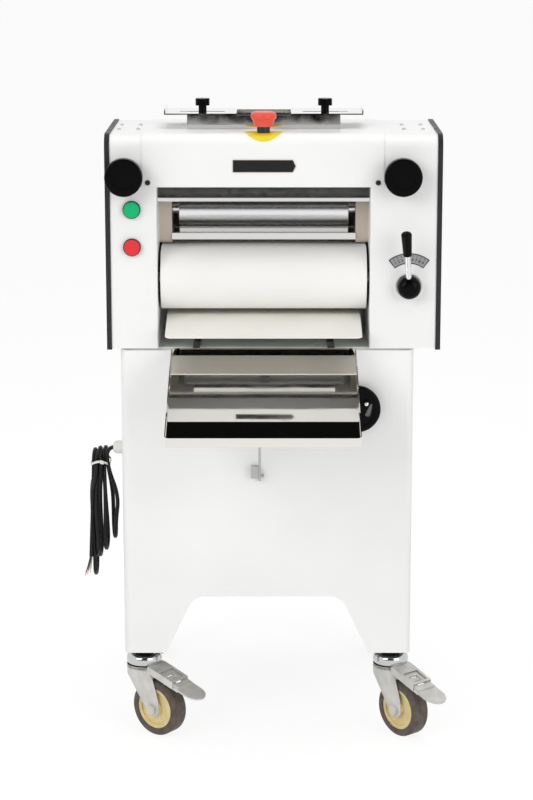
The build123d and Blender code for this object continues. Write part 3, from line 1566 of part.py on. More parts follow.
# Mains cord: out of the gland, then gathered in a hank of long loops that hang side by side, to its bare end
cord_x = gland_x - gland_length
hank_x = cord_x - cord_exit
cord_points = [(cord_x, gland_y, gland_z), (hank_x, gland_y, gland_z)]
for loop in range(hank_loops):
    loop_bottom_z = hank_first_bottom_z - loop * hank_bottom_step
    loop_corners = (
        (gland_y, loop_bottom_z),
        (gland_y + hank_width, loop_bottom_z),
        (gland_y + hank_width, hank_top_z),
        (gland_y, hank_top_z),
    )
    for corner, (corner_y, corner_z) in enumerate(loop_corners, start=1):
        swing = hank_swing if loop == 0 and corner_z == loop_bottom_z else 0
        corner_x = hank_x - hank_step * (loop + corner / len(loop_corners)) + swing
        cord_points.append((corner_x, corner_y, corner_z))
cord_points.append((hank_x - hank_step * (hank_loops + 1 / len(loop_corners)), gland_y, cord_end_z))
hank_radius = hank_width / 2 - clear
cord_radii = [exit_radius] + [hank_radius] * (len(cord_points) - 3)
with BuildPart() as power_cord:
    with BuildLine() as cord_path:
        FilletPolyline(*cord_points, radius=cord_radii)
    with BuildSketch(Plane(origin=cord_points[0], x_dir=(0, 1, 0), z_dir=(-1, 0, 0))):
        Circle(cord_diameter / 2)
    sweep()
save(power_cord.part, "power_cord")

# The cord's length, radii and volume, and its least gap to itself
cord_wire = cord_path.wire()
cord_samples = 600
cord_places = [tuple(cord_wire.position_at(step / cord_samples)) for step in range(cord_samples + 1)]
apart = int(cord_samples * pi * hank_radius / cord_wire.length)
least_gap = min(
    hypot(*(a - b for a, b in zip(cord_places[first], cord_places[second])))
    for first in range(cord_samples + 1)
    for second in range(first + apart, cord_samples + 1)
) - cord_diameter
cord_section = pi * cord_diameter**2 / 4
print(f"cord length {cord_wire.length:.0f}, radii {exit_radius} and {hank_radius}")
print(f"cord gap to itself {least_gap:.2f}")
print(f"cord volume {power_cord.part.volume:.0f}, section times length {cord_section * cord_wire.length:.0f}")
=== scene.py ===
from math import cos, pi, radians, sin, tan

import bmesh
import bpy
from mathutils import Matrix, Vector


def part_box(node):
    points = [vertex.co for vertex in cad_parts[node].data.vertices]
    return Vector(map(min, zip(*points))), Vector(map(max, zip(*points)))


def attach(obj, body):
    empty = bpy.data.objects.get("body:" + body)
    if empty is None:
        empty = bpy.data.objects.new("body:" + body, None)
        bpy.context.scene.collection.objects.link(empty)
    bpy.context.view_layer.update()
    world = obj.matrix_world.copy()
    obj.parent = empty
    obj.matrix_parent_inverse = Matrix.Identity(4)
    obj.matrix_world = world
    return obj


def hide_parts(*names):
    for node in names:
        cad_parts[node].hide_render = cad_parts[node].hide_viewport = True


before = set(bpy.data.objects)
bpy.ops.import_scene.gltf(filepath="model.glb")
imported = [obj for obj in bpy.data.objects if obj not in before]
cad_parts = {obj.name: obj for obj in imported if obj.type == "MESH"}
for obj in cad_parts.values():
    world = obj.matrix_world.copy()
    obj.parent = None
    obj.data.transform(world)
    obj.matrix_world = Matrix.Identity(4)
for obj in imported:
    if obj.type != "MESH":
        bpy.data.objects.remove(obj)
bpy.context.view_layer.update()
scene = bpy.context.scene
scene.view_settings.view_transform = "Standard"

# Camera
# A long lens about four metres in front of the machine, at chest height and looking a little down, as in
# the photograph. The sideways shift is only what that framing needs.
camera_lens = bpy.data.cameras.new("camera")
camera_lens.sensor_width = 36.0
camera_lens.lens = 103.5
camera_lens.shift_x = -0.0089
camera = bpy.data.objects.new("camera", camera_lens)
camera.location = (-0.006, -3.999, 1.474)
camera.rotation_euler = (radians(77.5), 0.0, 0.0)
scene.collection.objects.link(camera)
scene.camera = camera

# Surround and lamps
# A white surround lights the machine softly and shows as full white in the camera, metal and glass. Two
# large lamps stand in front on the left and right, and one overhead isn't mirrored in metal.
fill_strength = 0.52
wall_strength = 1.0
lamp_aim = Vector((0.0, 0.0, 0.7))


def shown_ray(tree):
    """One for a ray that shows in the camera, metal or glass, and nought for one that only lights."""
    ray = tree.nodes.new("ShaderNodeLightPath")
    shown = ray.outputs["Is Camera Ray"]
    for kind in ("Is Glossy Ray", "Is Transmission Ray"):
        either = tree.nodes.new("ShaderNodeMath")
        either.operation = "MAXIMUM"
        tree.links.new(shown, either.inputs[0])
        tree.links.new(ray.outputs[kind], either.inputs[1])
        shown = either.outputs[0]
    return shown


surround = bpy.data.worlds.new("surround")
scene.world = surround
surround.use_nodes = True
sky = surround.node_tree
sky.nodes.clear()
backdrop = sky.nodes.new("ShaderNodeMixShader")
sky.links.new(shown_ray(sky), backdrop.inputs["Fac"])
for entry, strength in ((1, fill_strength), (2, wall_strength)):
    white = sky.nodes.new("ShaderNodeBackground")
    white.inputs["Color"].default_value = (1.0, 1.0, 1.0, 1.0)
    white.inputs["Strength"].default_value = strength
    sky.links.new(white.outputs[0], backdrop.inputs[entry])
sky_output = sky.nodes.new("ShaderNodeOutputWorld")
sky.links.new(backdrop.outputs[0], sky_output.inputs["Surface"])

for lamp_name, lamp_place, lamp_power, lamp_width, mirrored in (
    ("key_lamp", (-2.4, -3.2, 2.5), 58.0, 2.2, True),
    ("fill_lamp", (2.6, -3.4, 1.8), 50.0, 2.4, True),
    ("top_lamp", (0.2, 0.4, 3.6), 28.0, 2.0, False),
):
    lamp_light = bpy.data.lights.new(lamp_name, "AREA")
    lamp_light.energy = lamp_power
    lamp_light.size = lamp_width
    lamp = bpy.data.objects.new(lamp_name, lamp_light)
    lamp.location = lamp_place
    lamp.visible_glossy = mirrored
    lamp.rotation_euler = (lamp_aim - lamp.location).to_track_quat("-Z", "Y").to_euler()
    scene.collection.objects.link(lamp)

# Floor
# A wide disc of matt white paper under the casters. It keeps the machine's soft shadow and glows a little
# where it is seen, so that it runs into the white surround.
floor_radius = 40.0
paper_colour = (0.88, 0.88, 0.88, 1.0)
glow_share = 0.78
glow_strength = 1.1


def set_stage(name, builder, finish):
    """Turn a finished bmesh into a piece of the set, which isn't part of the machine."""
    mesh = bpy.data.meshes.new(name)
    builder.to_mesh(mesh)
    builder.free()
    mesh.materials.append(finish)
    piece = bpy.data.objects.new(name, mesh)
    scene.collection.objects.link(piece)
    return piece


floor_paint = bpy.data.materials.new("floor_paint")
floor_paint.use_nodes = True
paper = floor_paint.node_tree
paper.nodes.clear()
paper_glow = paper.nodes.new("ShaderNodeMath")
paper_glow.operation = "MULTIPLY"
paper_glow.inputs[1].default_value = glow_share
paper.links.new(shown_ray(paper), paper_glow.inputs[0])
paper_white = paper.nodes.new("ShaderNodeBsdfDiffuse")
paper_white.inputs["Color"].default_value = paper_colour
paper_light = paper.nodes.new("ShaderNodeEmission")
paper_light.inputs["Strength"].default_value = glow_strength
paper_mix = paper.nodes.new("ShaderNodeMixShader")
paper.links.new(paper_glow.outputs[0], paper_mix.inputs["Fac"])
paper.links.new(paper_white.outputs[0], paper_mix.inputs[1])
paper.links.new(paper_light.outputs[0], paper_mix.inputs[2])
paper_output = paper.nodes.new("ShaderNodeOutputMaterial")
paper.links.new(paper_mix.outputs[0], paper_output.inputs["Surface"])
floor_builder = bmesh.new()
bmesh.ops.create_circle(floor_builder, cap_ends=True, segments=96, radius=floor_radius)
set_stage("floor", floor_builder, floor_paint)

# Dark flats
# Two flats of black cloth, a small one over the set and a large one just behind the camera. Only metal
# mirrors them, and they give the polished steel its dark bands.
flat_half = 4.2
front_flat_foot_z = 0.668
ceiling_size = (1.6, 1.3, 1.0)
ceiling_place = (0.0, 0.95, 3.9)
cloth_colour = (0.005, 0.005, 0.005, 1.0)
origin = (0.0, 0.0, 0.0)
upright = Matrix.Rotation(radians(90.0), 3, "X")
flats_builder = bmesh.new()
ceiling = bmesh.ops.create_grid(flats_builder, x_segments=1, y_segments=1, size=0.5)["verts"]
bmesh.ops.scale(flats_builder, vec=ceiling_size, verts=ceiling)
bmesh.ops.translate(flats_builder, vec=ceiling_place, verts=ceiling)
front_flat = bmesh.ops.create_grid(flats_builder, x_segments=1, y_segments=1, size=flat_half)["verts"]
bmesh.ops.rotate(flats_builder, cent=origin, matrix=upright, verts=front_flat)
bmesh.ops.translate(flats_builder, vec=(0.0, -flat_half, front_flat_foot_z + flat_half), verts=front_flat)
flat_black = bpy.data.materials.new("flat_black")
flat_black.use_nodes = True
cloth = flat_black.node_tree
cloth.nodes.clear()
cloth_tone = cloth.nodes.new("ShaderNodeEmission")
cloth_tone.inputs["Color"].default_value = cloth_colour
cloth_output = cloth.nodes.new("ShaderNodeOutputMaterial")
cloth.links.new(cloth_tone.outputs[0], cloth_output.inputs["Surface"])
flats = set_stage("dark_flats", flats_builder, flat_black)
flats.visible_camera = False
flats.visible_diffuse = False
flats.visible_transmission = False
flats.visible_shadow = False

# Mains cord
# A black rubber-sheathed lead, folded into a hank of five long loops and hung by its gland on the left of
# the stand. One smooth spline runs through the loops, which differ in length and fan out below the tie.
cord_diameter = 0.007
cord_start = Vector((-0.283, -0.075, 0.520))
cord_bend = Vector((-0.2995, cord_start.y, 0.5195))
cord_drop = Vector((-0.2975, cord_start.y, 0.482))
cord_end = Vector((-0.3295, cord_start.y, 0.320))
hank_x = -0.296
hank_middle_y = -0.053
hank_radius = 0.022
hank_step = 0.0078
hank_waist_z = 0.430
hank_stagger = 0.003
hank_bow = 0.002
bow_turn_x = 2.4
bow_turn_y = 1.7
fold_rise = hank_radius * tan(radians(30))
fold_reach = hank_radius / cos(radians(30))
# Each loop: the height of its lower fold, how far the front and the back strand lean to the right there
# and at the waist, the height of its upper fold, and how far that is gathered to the right.
hank_loops = (
    (0.351, 0.013, 0.008, 0.0165, 0.0105, 0.513, 0.0),
    (0.331, 0.002, 0.006, 0.001, 0.003, 0.508, 0.002),
    (0.317, -0.002, 0.002, 0.0, -0.001, 0.512, 0.006),
    (0.320, 0.005, -0.003, 0.002, -0.002, 0.506, 0.010),
    (0.283, 0.006, 0.009, 0.0, 0.001, 0.509, 0.0125),
)


def new_finish(name, colour, roughness, metallic=0.0, more=None):
    """A principled material, with its plain values set on the shader's own sockets."""
    finish = bpy.data.materials.new(name)
    finish.use_nodes = True
    values = {"Base Color": (*colour, 1.0), "Roughness": roughness, "Metallic": metallic, **(more or {})}
    for socket, value in values.items():
        finish.node_tree.nodes["Principled BSDF"].inputs[socket].default_value = value
    return finish


def pattern(finish, scale, stretch=(1.0, 1.0, 1.0), kind="ShaderNodeTexNoise"):
    """A texture in object space, fine by its scale and drawn out along the axes with a small stretch."""
    tree = finish.node_tree
    place = tree.nodes.get("place")
    if place is None:
        place = tree.nodes.new("ShaderNodeTexCoord")
        place.name = "place"
    mapping = tree.nodes.new("ShaderNodeMapping")
    mapping.inputs["Scale"].default_value = stretch
    texture = tree.nodes.new(kind)
    texture.inputs["Scale"].default_value = scale
    tree.links.new(place.outputs["Object"], mapping.inputs["Vector"])
    tree.links.new(mapping.outputs["Vector"], texture.inputs["Vector"])
    return texture


def mottle(finish, scale, smooth, rough, **drawn):
    """Let the roughness wander between two values."""
    tree = finish.node_tree
    reach = tree.nodes.new("ShaderNodeMapRange")
    for socket, value in (("From Min", 0.3), ("From Max", 0.7), ("To Min", smooth), ("To Max", rough)):
        reach.inputs[socket].default_value = value
    tree.links.new(pattern(finish, scale, **drawn).outputs[0], reach.inputs["Value"])
    tree.links.new(reach.outputs["Result"], tree.nodes["Principled BSDF"].inputs["Roughness"])


def emboss(finish, texture, depth):
    """Raise the surface by a texture, depth metres high, over any earlier relief."""
    tree = finish.node_tree
    relief = tree.nodes.new("ShaderNodeBump")
    relief.inputs["Distance"].default_value = depth
    normal = tree.nodes["Principled BSDF"].inputs["Normal"]
    if normal.is_linked:
        tree.links.new(normal.links[0].from_socket, relief.inputs["Normal"])
    tree.links.new(texture.outputs[0], relief.inputs["Height"])
    tree.links.new(relief.outputs["Normal"], normal)


def grain(finish, scale, depth, **drawn):
    """Raise the surface by an even pattern."""
    emboss(finish, pattern(finish, scale, **drawn), depth)


def lay_line(name, points, thickness, finish):
    """A round line along one open spline that follows its control points."""
    line = bpy.data.curves.new(name, "CURVE")
    line.dimensions = "3D"
    line.bevel_depth = thickness / 2
    line.bevel_resolution = 5
    line.resolution_u = 10
    line.use_fill_caps = True
    spline = line.splines.new("NURBS")
    spline.points.add(len(points) - 1)
    for control, place in zip(spline.points, points):
        control.co = (*place, 1.0)
    spline.order_u = 3
    spline.use_endpoint_u = True
    line.materials.append(finish)
    piece = bpy.data.objects.new(name, line)
    scene.collection.objects.link(piece)
    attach(piece, "machine")
    return piece


def dress(finish, *nodes):
    """Give CAD nodes their finish."""
    for node in nodes:
        for material_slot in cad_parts[node].material_slots:
            material_slot.material = finish


cord_gloss = {"Specular IOR Level": 0.3}
cord_rubber = new_finish("cord_rubber", (0.003, 0.003, 0.003), roughness=0.42, more=cord_gloss)
mottle(cord_rubber, scale=90.0, smooth=0.34, rough=0.52)
grain(cord_rubber, scale=1400.0, depth=0.00005)
cord_points = [cord_start, cord_bend, cord_drop]
half_turns = 0
for loop, measures in enumerate(hank_loops):
    bottom_z, front_lean, back_lean, front_waist, back_waist, top_z, gather = measures
    middle_y = hank_middle_y + hank_stagger * (-1) ** loop
    for fold_z, down, side, first_share, waist, lean_in, lean_out in (
        (bottom_z + hank_radius, -1, -1, 0.25, front_waist, front_lean, back_lean),
        (top_z - hank_radius, 1, 1, 0.75, back_waist, gather, gather),
    ):
        half_turns += 1
        bow_x = hank_bow * sin(bow_turn_x * half_turns)
        bow_y = hank_bow * cos(bow_turn_y * half_turns)
        # Each point: its place across, its height, its share of a step to the left, and its lean.
        for step_y, place_z, share, strand_lean in (
            (side * hank_radius + bow_y, hank_waist_z, -0.1, bow_x + waist),
            (side * hank_radius, fold_z - down * fold_rise, -0.03, lean_in),
            (side * hank_radius, fold_z + down * fold_rise, 0.0, lean_in),
            (0.0, fold_z + down * fold_reach, 0.125, (lean_in + lean_out) / 2),
            (-side * hank_radius, fold_z + down * fold_rise, 0.25, lean_out),
            (-side * hank_radius, fold_z - down * fold_rise, 0.28, lean_out),
        ):
            strand_x = hank_x - hank_step * (loop + first_share + share) + strand_lean
            cord_points.append(Vector((strand_x, middle_y + step_y, place_z)))
cord_points.append(cord_end)
power_lead = lay_line("power_lead", cord_points, cord_diameter, cord_rubber)
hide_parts("power_cord")
dress(cord_rubber, "power_cord")

# Stripped wires
# The lead's three cores at its bare end: thin plastic-covered wires that spread and lean to the left, each
# with a stripped tip of twisted copper.
wire_diameter = 0.0022
core_start = Vector((0.0, 0.0, 0.002))
core_step = Vector((0.0012, 0.0014, 0.0))
bend_place = Vector((-0.002, -0.004, -0.012))
bend_fan = Vector((0.0018, 0.006, 0.0))
tip_place = Vector((-0.0045, -0.012, -0.022))
tip_fan = Vector((0.003, 0.0132, 0.0))
copper_diameter = 0.0013
copper_length = 0.008
copper = new_finish("copper", (0.72, 0.30, 0.14), roughness=0.28, metallic=1.0)
grain(copper, scale=900.0, depth=0.00008, kind="ShaderNodeTexWave")
wire_pieces = []
for row, wire_name, wire_colour in (
    (-1, "brown_wire", (0.05, 0.022, 0.014)),
    (0, "blue_wire", (0.03, 0.06, 0.16)),
    (1, "earth_wire", (0.30, 0.34, 0.06)),
):
    wire_finish = new_finish(wire_name, wire_colour, roughness=0.38)
    grain(wire_finish, scale=2000.0, depth=0.00002)
    wire_start = cord_end + core_start + core_step * row
    wire_bend = cord_end + bend_place + bend_fan * row
    wire_tip = cord_end + tip_place + tip_fan * row
    copper_tip = wire_tip + (wire_tip - wire_bend).normalized() * copper_length
    copper_points = [wire_tip, (wire_tip + copper_tip) / 2, copper_tip]
    wire = lay_line(wire_name, [wire_start, wire_bend, wire_tip], wire_diameter, wire_finish)
    strand = lay_line(f"{wire_name}_tip", copper_points, copper_diameter, copper)
    wire_pieces += [wire, strand]

# Hank tie
# A white nylon cable tie, drawn round the hank under its upper folds. Its band arches over the strands,
# and its small square lock sits in front.
tie_room = 0.0075
tie_low = Vector((-0.3274, hank_middle_y - hank_radius - tie_room, 0.486))
tie_high = Vector((-0.2948, hank_middle_y + hank_radius + tie_room, 0.490))
tie_middle_x = (tie_low.x + tie_high.x) / 2
tie_arch = 0.007
tie_corner = 0.014
tie_thickness = 0.0011
lock_size = (0.0065, 0.005, 0.0062)
lock_place = (tie_middle_x + 0.004, tie_low.y - 0.0020, 0.488)
lock_rounding = 0.0008
crease_angle = 35.0


def round_edges(builder, edges, radius, segments):
    """Round edges with a bevel."""
    bmesh.ops.bevel(
        builder, geom=edges, offset=radius, segments=segments, profile=0.5, affect="EDGES", material=-1
    )


def face_outwards(builder):
    """Turn every face outwards."""
    bmesh.ops.recalc_face_normals(builder, faces=builder.faces)


def add_block(builder, size, place):
    """A block with its middle at a place; its corners are given back."""
    block = bmesh.ops.create_cube(builder, size=1.0)["verts"]
    bmesh.ops.scale(builder, vec=size, verts=block)
    bmesh.ops.translate(builder, vec=place, verts=block)
    return block


def settle(name, builder, finish, body):
    """Turn a finished bmesh into a piece that rides on a body."""
    mesh = bpy.data.meshes.new(name)
    builder.to_mesh(mesh)
    builder.free()
    mesh.materials.append(finish)
    mesh.shade_smooth()
    mesh.set_sharp_from_angle(angle=radians(crease_angle))
    piece = bpy.data.objects.new(name, mesh)
    scene.collection.objects.link(piece)
    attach(piece, body)
    return piece


tie_glow = {"Subsurface Weight": 0.2, "Subsurface Scale": 0.001}
tie_nylon = new_finish("tie_nylon", (0.80, 0.80, 0.77), roughness=0.35, more=tie_glow)
mottle(tie_nylon, scale=300.0, smooth=0.28, rough=0.45)
tie_builder = bmesh.new()
add_block(tie_builder, tie_high - tie_low, (tie_low + tie_high) / 2)
tie_ends = [face for face in tie_builder.faces if abs(face.normal.z) > 0.5]
bmesh.ops.delete(tie_builder, geom=tie_ends, context="FACES_ONLY")
tie_corners = [edge for edge in tie_builder.edges if abs(edge.verts[0].co.z - edge.verts[1].co.z) > 0.001]
round_edges(tie_builder, tie_corners, radius=tie_corner, segments=8)
bmesh.ops.solidify(tie_builder, geom=tie_builder.faces, thickness=-tie_thickness)
face_outwards(tie_builder)
lock = add_block(tie_builder, lock_size, lock_place)
for corner in tie_builder.verts:
    offset = (corner.co.x - tie_middle_x) / (tie_high.x - tie_middle_x)
    corner.co.z += tie_arch * (1.0 - offset**2)
lock_edges = list({edge for corner in lock for edge in corner.link_edges})
round_edges(tie_builder, lock_edges, radius=lock_rounding, segments=2)
hank_tie = settle("hank_tie", tie_builder, tie_nylon, "machine")

# Cable gland
# A white nylon gland, screwed into the stand's left side: a hexagon against the sheet, and a rounded cap
# that grips the lead where it comes out.
gland_foot = Vector((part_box("cord_gland")[1].x, cord_start.y, cord_start.z))
gland_hex_radius = 0.0132
gland_hex_rise = 0.0055
gland_hex_rounding = 0.0008
# The cap's profile: how far each point stands out from the sheet, and its radius.
gland_cap = (
    (0.0050, 0.0114), (0.0130, 0.0114), (0.0165, 0.0106), (0.0190, 0.0086),
    (0.0203, 0.0058), (0.0203, 0.0040), (0.0160, 0.0038),
)


def draw_outline(builder, points, closed=False):
    """Corners at points and the edges that join them one after another; both are given back."""
    corners = [builder.verts.new(point) for point in points]
    following = corners[1:] + corners[:1] if closed else corners[1:]
    return corners, [builder.edges.new(pair) for pair in zip(corners, following)]


def turn_profile(builder, points, centre, axis, steps, closed=False):
    """Turn a profile once round an axis, as on a lathe, and close its seam."""
    corners, edges = draw_outline(builder, points, closed)
    bmesh.ops.spin(
        builder, geom=corners + edges, cent=centre, axis=axis, angle=2 * pi, steps=steps, use_merge=True
    )
    bmesh.ops.remove_doubles(builder, verts=builder.verts, dist=1e-6)
    face_outwards(builder)


def add_prism(builder, segments, radius, rise):
    """An upright prism about the origin; its corners are given back."""
    return bmesh.ops.create_cone(
        builder, cap_ends=True, segments=segments, radius1=radius, radius2=radius, depth=rise
    )["verts"]


gland_glow = {"Subsurface Weight": 0.15, "Subsurface Scale": 0.001}
gland_nylon = new_finish("gland_nylon", (0.80, 0.80, 0.77), roughness=0.36, more=gland_glow)
mottle(gland_nylon, scale=250.0, smooth=0.30, rough=0.45)
grain(gland_nylon, scale=1200.0, depth=0.00004)
gland_builder = bmesh.new()
add_prism(gland_builder, segments=6, radius=gland_hex_radius, rise=gland_hex_rise)
round_edges(gland_builder, gland_builder.edges, radius=gland_hex_rounding, segments=2)
sideways = Matrix.Rotation(radians(-90.0), 3, "Y")
bmesh.ops.rotate(gland_builder, cent=origin, matrix=sideways, verts=gland_builder.verts)
bmesh.ops.translate(gland_builder, vec=(-gland_hex_rise / 2, 0.0, 0.0), verts=gland_builder.verts)
cap_profile = [(-reach, 0.0, radius) for reach, radius in gland_cap]
turn_profile(gland_builder, cap_profile, centre=origin, axis=(1.0, 0.0, 0.0), steps=48)
bmesh.ops.translate(gland_builder, vec=gland_foot, verts=gland_builder.verts)
gland = settle("gland", gland_builder, gland_nylon, "machine")
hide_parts("cord_gland")

# Stand
# A folded sheet-steel cabinet with an arch at the foot of every side, welded, ground and powder-coated in
# a slightly rough white. The front panel is folded round both corners and the rest laps inside it.


def tint(finish, scale, dark, light, low=0.35, high=0.65):
    """Let the colour of a finish wander between two tones."""
    tree = finish.node_tree
    ramp = tree.nodes.new("ShaderNodeValToRGB")
    for element, position, tone in zip(ramp.color_ramp.elements, (low, high), (dark, light)):
        element.position = position
        element.color = (*tone, 1.0)
    tree.links.new(pattern(finish, scale).outputs[0], ramp.inputs["Fac"])
    tree.links.new(ramp.outputs["Color"], tree.nodes["Principled BSDF"].inputs["Base Color"])


powder_white = new_finish("powder_white", (0.88, 0.88, 0.87), roughness=0.36)
tint(powder_white, scale=5.0, dark=(0.862, 0.866, 0.858), light=(0.90, 0.90, 0.89))
mottle(powder_white, scale=30.0, smooth=0.30, rough=0.44)
grain(powder_white, scale=700.0, depth=0.00006)
dress(powder_white, "stand_front_panel", "stand_panels")

# Caster forks
# Zinc-plated pressed forks under bright swivel rings, hung from steel foot plates that are welded into the
# legs. The front pair swivels and has stamped brake pedals under a sheet housing.
axle_z = 0.050
crown_radius = 0.031
crown_top_z = 0.126
crown_plate = 0.0055
shoulder_z = 0.108
fork_gap = 0.036
fork_half = 0.021
boss_radius = 0.014
bolt_radius = 0.0098
bolt_rise = 0.006
housing_outline = ((0.024, 0.1280), (0.032, 0.1264), (0.045, 0.1222), (0.081, 0.1098))
housing_half = 0.0222
housing_drop = 0.0130
housing_window = 0.007
housing_sheet = 0.0014
ring_middle_radius = 0.0246
ring_half_width = 0.0070
ring_middle_z = 0.1350
ring_half_height = 0.0112
ring_first_angle = -55.0
ring_angle_step = 15.0
ring_points = 17
caster_x = {"left": -0.237, "right": 0.203}
front_caster_y = -0.083
caster_trail = 0.034


def pour(shape, builder):
    """Add a finished bmesh to a builder."""
    shape_mesh = bpy.data.meshes.new("caster_shape")
    shape.to_mesh(shape_mesh)
    shape.free()
    builder.from_mesh(shape_mesh)
    bpy.data.meshes.remove(shape_mesh)


def corners_of(geometry):
    """The corners among what an operator gives back."""
    return [item for item in geometry if isinstance(item, bmesh.types.BMVert)]


def add_fork(builder, trail):
    """A pressed fork about the origin, trailing along X: a round crown drawn down into two cheeks."""
    hull = bmesh.new()
    for height in (shoulder_z, crown_top_z):
        rim = bmesh.ops.create_circle(hull, segments=64, radius=crown_radius)["verts"]
        bmesh.ops.translate(hull, vec=(0.0, 0.0, height), verts=rim)
    for boss_y in (-fork_half, fork_half):
        boss = bmesh.ops.create_circle(hull, segments=40, radius=boss_radius)["verts"]
        bmesh.ops.rotate(hull, cent=origin, matrix=upright, verts=boss)
        bmesh.ops.translate(hull, vec=(trail, boss_y, axle_z), verts=boss)
    skin = bmesh.ops.convex_hull(hull, input=hull.verts)
    bmesh.ops.delete(hull, geom=corners_of(skin["geom_interior"]), context="VERTS")
    for cut_place, cut_normal in (
        ((0.0, fork_gap / 2, 0.0), (0.0, -1.0, 0.0)),
        ((0.0, -fork_gap / 2, 0.0), (0.0, 1.0, 0.0)),
        ((0.0, 0.0, crown_top_z - crown_plate), (0.0, 0.0, -1.0)),
    ):
        slab = hull.copy()
        everything = slab.verts[:] + slab.edges[:] + slab.faces[:]
        bmesh.ops.bisect_plane(
            slab, geom=everything, dist=1e-6, plane_co=cut_place, plane_no=cut_normal, clear_outer=True
        )
        bmesh.ops.holes_fill(slab, edges=[edge for edge in slab.edges if edge.is_boundary])
        face_outwards(slab)
        pour(slab, builder)
    hull.free()
    for bolt_y in (-fork_half - bolt_rise / 2, fork_half + bolt_rise / 2):
        bolt = add_prism(builder, segments=6, radius=bolt_radius, rise=bolt_rise)
        bmesh.ops.rotate(builder, cent=origin, matrix=upright, verts=bolt)
        bmesh.ops.translate(builder, vec=(trail, bolt_y, axle_z), verts=bolt)


def add_brake_housing(builder):
    """The sheet housing over a pedal: a bent roof with a window in its last slope, and two skirts."""
    housing = bmesh.new()
    ridge_points = [(reach, -housing_half, height) for reach, height in housing_outline]
    swept = bmesh.ops.extrude_edge_only(housing, edges=draw_outline(housing, ridge_points)[1])["geom"]
    bmesh.ops.translate(housing, vec=(0.0, 2 * housing_half, 0.0), verts=corners_of(swept))
    window = max(housing.faces, key=lambda face: face.calc_center_median().x)
    bmesh.ops.inset_individual(housing, faces=[window], thickness=housing_window)
    bmesh.ops.delete(housing, geom=[window], context="FACES")
    rims = [
        edge
        for edge in housing.edges
        if all(abs(abs(end.co.y) - housing_half) < 1e-6 for end in edge.verts)
        and edge.verts[0].co.y * edge.verts[1].co.y > 0
    ]
    hung = bmesh.ops.extrude_edge_only(housing, edges=rims)["geom"]
    bmesh.ops.translate(housing, vec=(0.0, 0.0, -housing_drop), verts=corners_of(hung))
    face_outwards(housing)
    bmesh.ops.solidify(housing, geom=housing.faces, thickness=housing_sheet)
    pour(housing, builder)


def add_ring(builder):
    """A pressed swivel ring about the origin, rounded over its top and open round the stem."""
    profile = []
    for step in range(ring_points):
        swing = radians(ring_first_angle + ring_angle_step * step)
        radius = ring_middle_radius + ring_half_width * cos(swing)
        profile.append((radius, 0.0, ring_middle_z + ring_half_height * sin(swing)))
    turn_profile(builder, profile, centre=origin, axis=(0.0, 0.0, 1.0), steps=64)


def caster_place(middle_x, middle_y, heading):
    """Where a caster stands and which way it trails."""
    return Matrix.Translation((middle_x, middle_y, 0.0)) @ Matrix.Rotation(radians(heading), 4, "Z")


zinc = new_finish("zinc", (0.62, 0.61, 0.58), roughness=0.46, metallic=0.4)
tint(zinc, scale=45.0, dark=(0.57, 0.56, 0.53), light=(0.67, 0.66, 0.63))
mottle(zinc, scale=120.0, smooth=0.38, rough=0.56)
grain(zinc, scale=500.0, depth=0.00006)
dress(zinc, "left_brake_pedal", "right_brake_pedal")
bright_zinc = new_finish("bright_zinc", (0.56, 0.57, 0.57), roughness=0.14, metallic=1.0)
mottle(bright_zinc, scale=90.0, smooth=0.10, rough=0.22)
grain(bright_zinc, scale=160.0, depth=0.00005)
for side_name, heading in (("left", -36.0), ("right", -49.0)):
    place = caster_place(caster_x[side_name], front_caster_y, heading)
    fork_builder = bmesh.new()
    add_fork(fork_builder, caster_trail)
    add_brake_housing(fork_builder)
    fork_builder.transform(place)
    fork = settle(f"{side_name}_fork", fork_builder, zinc, f"{side_name}_caster")
    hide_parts(f"{side_name}_caster_fork")
    ring_builder = bmesh.new()
    add_ring(ring_builder)
    ring_builder.transform(place)
    settle(f"{side_name}_swivel_ring", ring_builder, bright_zinc, f"{side_name}_caster")

# Rear casters
# The fixed pair at the back: the same pressed forks and rings, without a brake or trail, each on a round
# stem that is welded under its foot plate.
rear_low, rear_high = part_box("rear_caster_forks")
rear_caster_y = 0.341
rear_heading = -90.0
rear_stem_radius = 0.015
foot_width = 0.064
foot_depth = 0.080
foot_sheet = 0.004
stem_rise = rear_high.z - foot_sheet - crown_top_z
rear_builder = bmesh.new()
rear_rings = bmesh.new()
for side_name, foot_x in (("left", rear_low.x), ("right", rear_high.x - foot_width)):
    place = caster_place(caster_x[side_name], rear_caster_y, rear_heading)
    fork_builder = bmesh.new()
    add_fork(fork_builder, trail=0.0)
    stem = add_prism(fork_builder, segments=40, radius=rear_stem_radius, rise=stem_rise)
    bmesh.ops.translate(fork_builder, vec=(0.0, 0.0, crown_top_z + stem_rise / 2), verts=stem)
    fork_builder.transform(place)
    foot_middle = (foot_x + foot_width / 2, rear_high.y - foot_depth / 2, rear_high.z - foot_sheet / 2)
    add_block(fork_builder, (foot_width, foot_depth, foot_sheet), foot_middle)
    pour(fork_builder, rear_builder)
    ring_builder = bmesh.new()
    add_ring(ring_builder)
    ring_builder.transform(place)
    pour(ring_builder, rear_rings)
rear_forks = settle("rear_forks", rear_builder, zinc, "machine")
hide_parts("rear_caster_forks")
settle("rear_swivel_rings", rear_rings, bright_zinc, "machine")

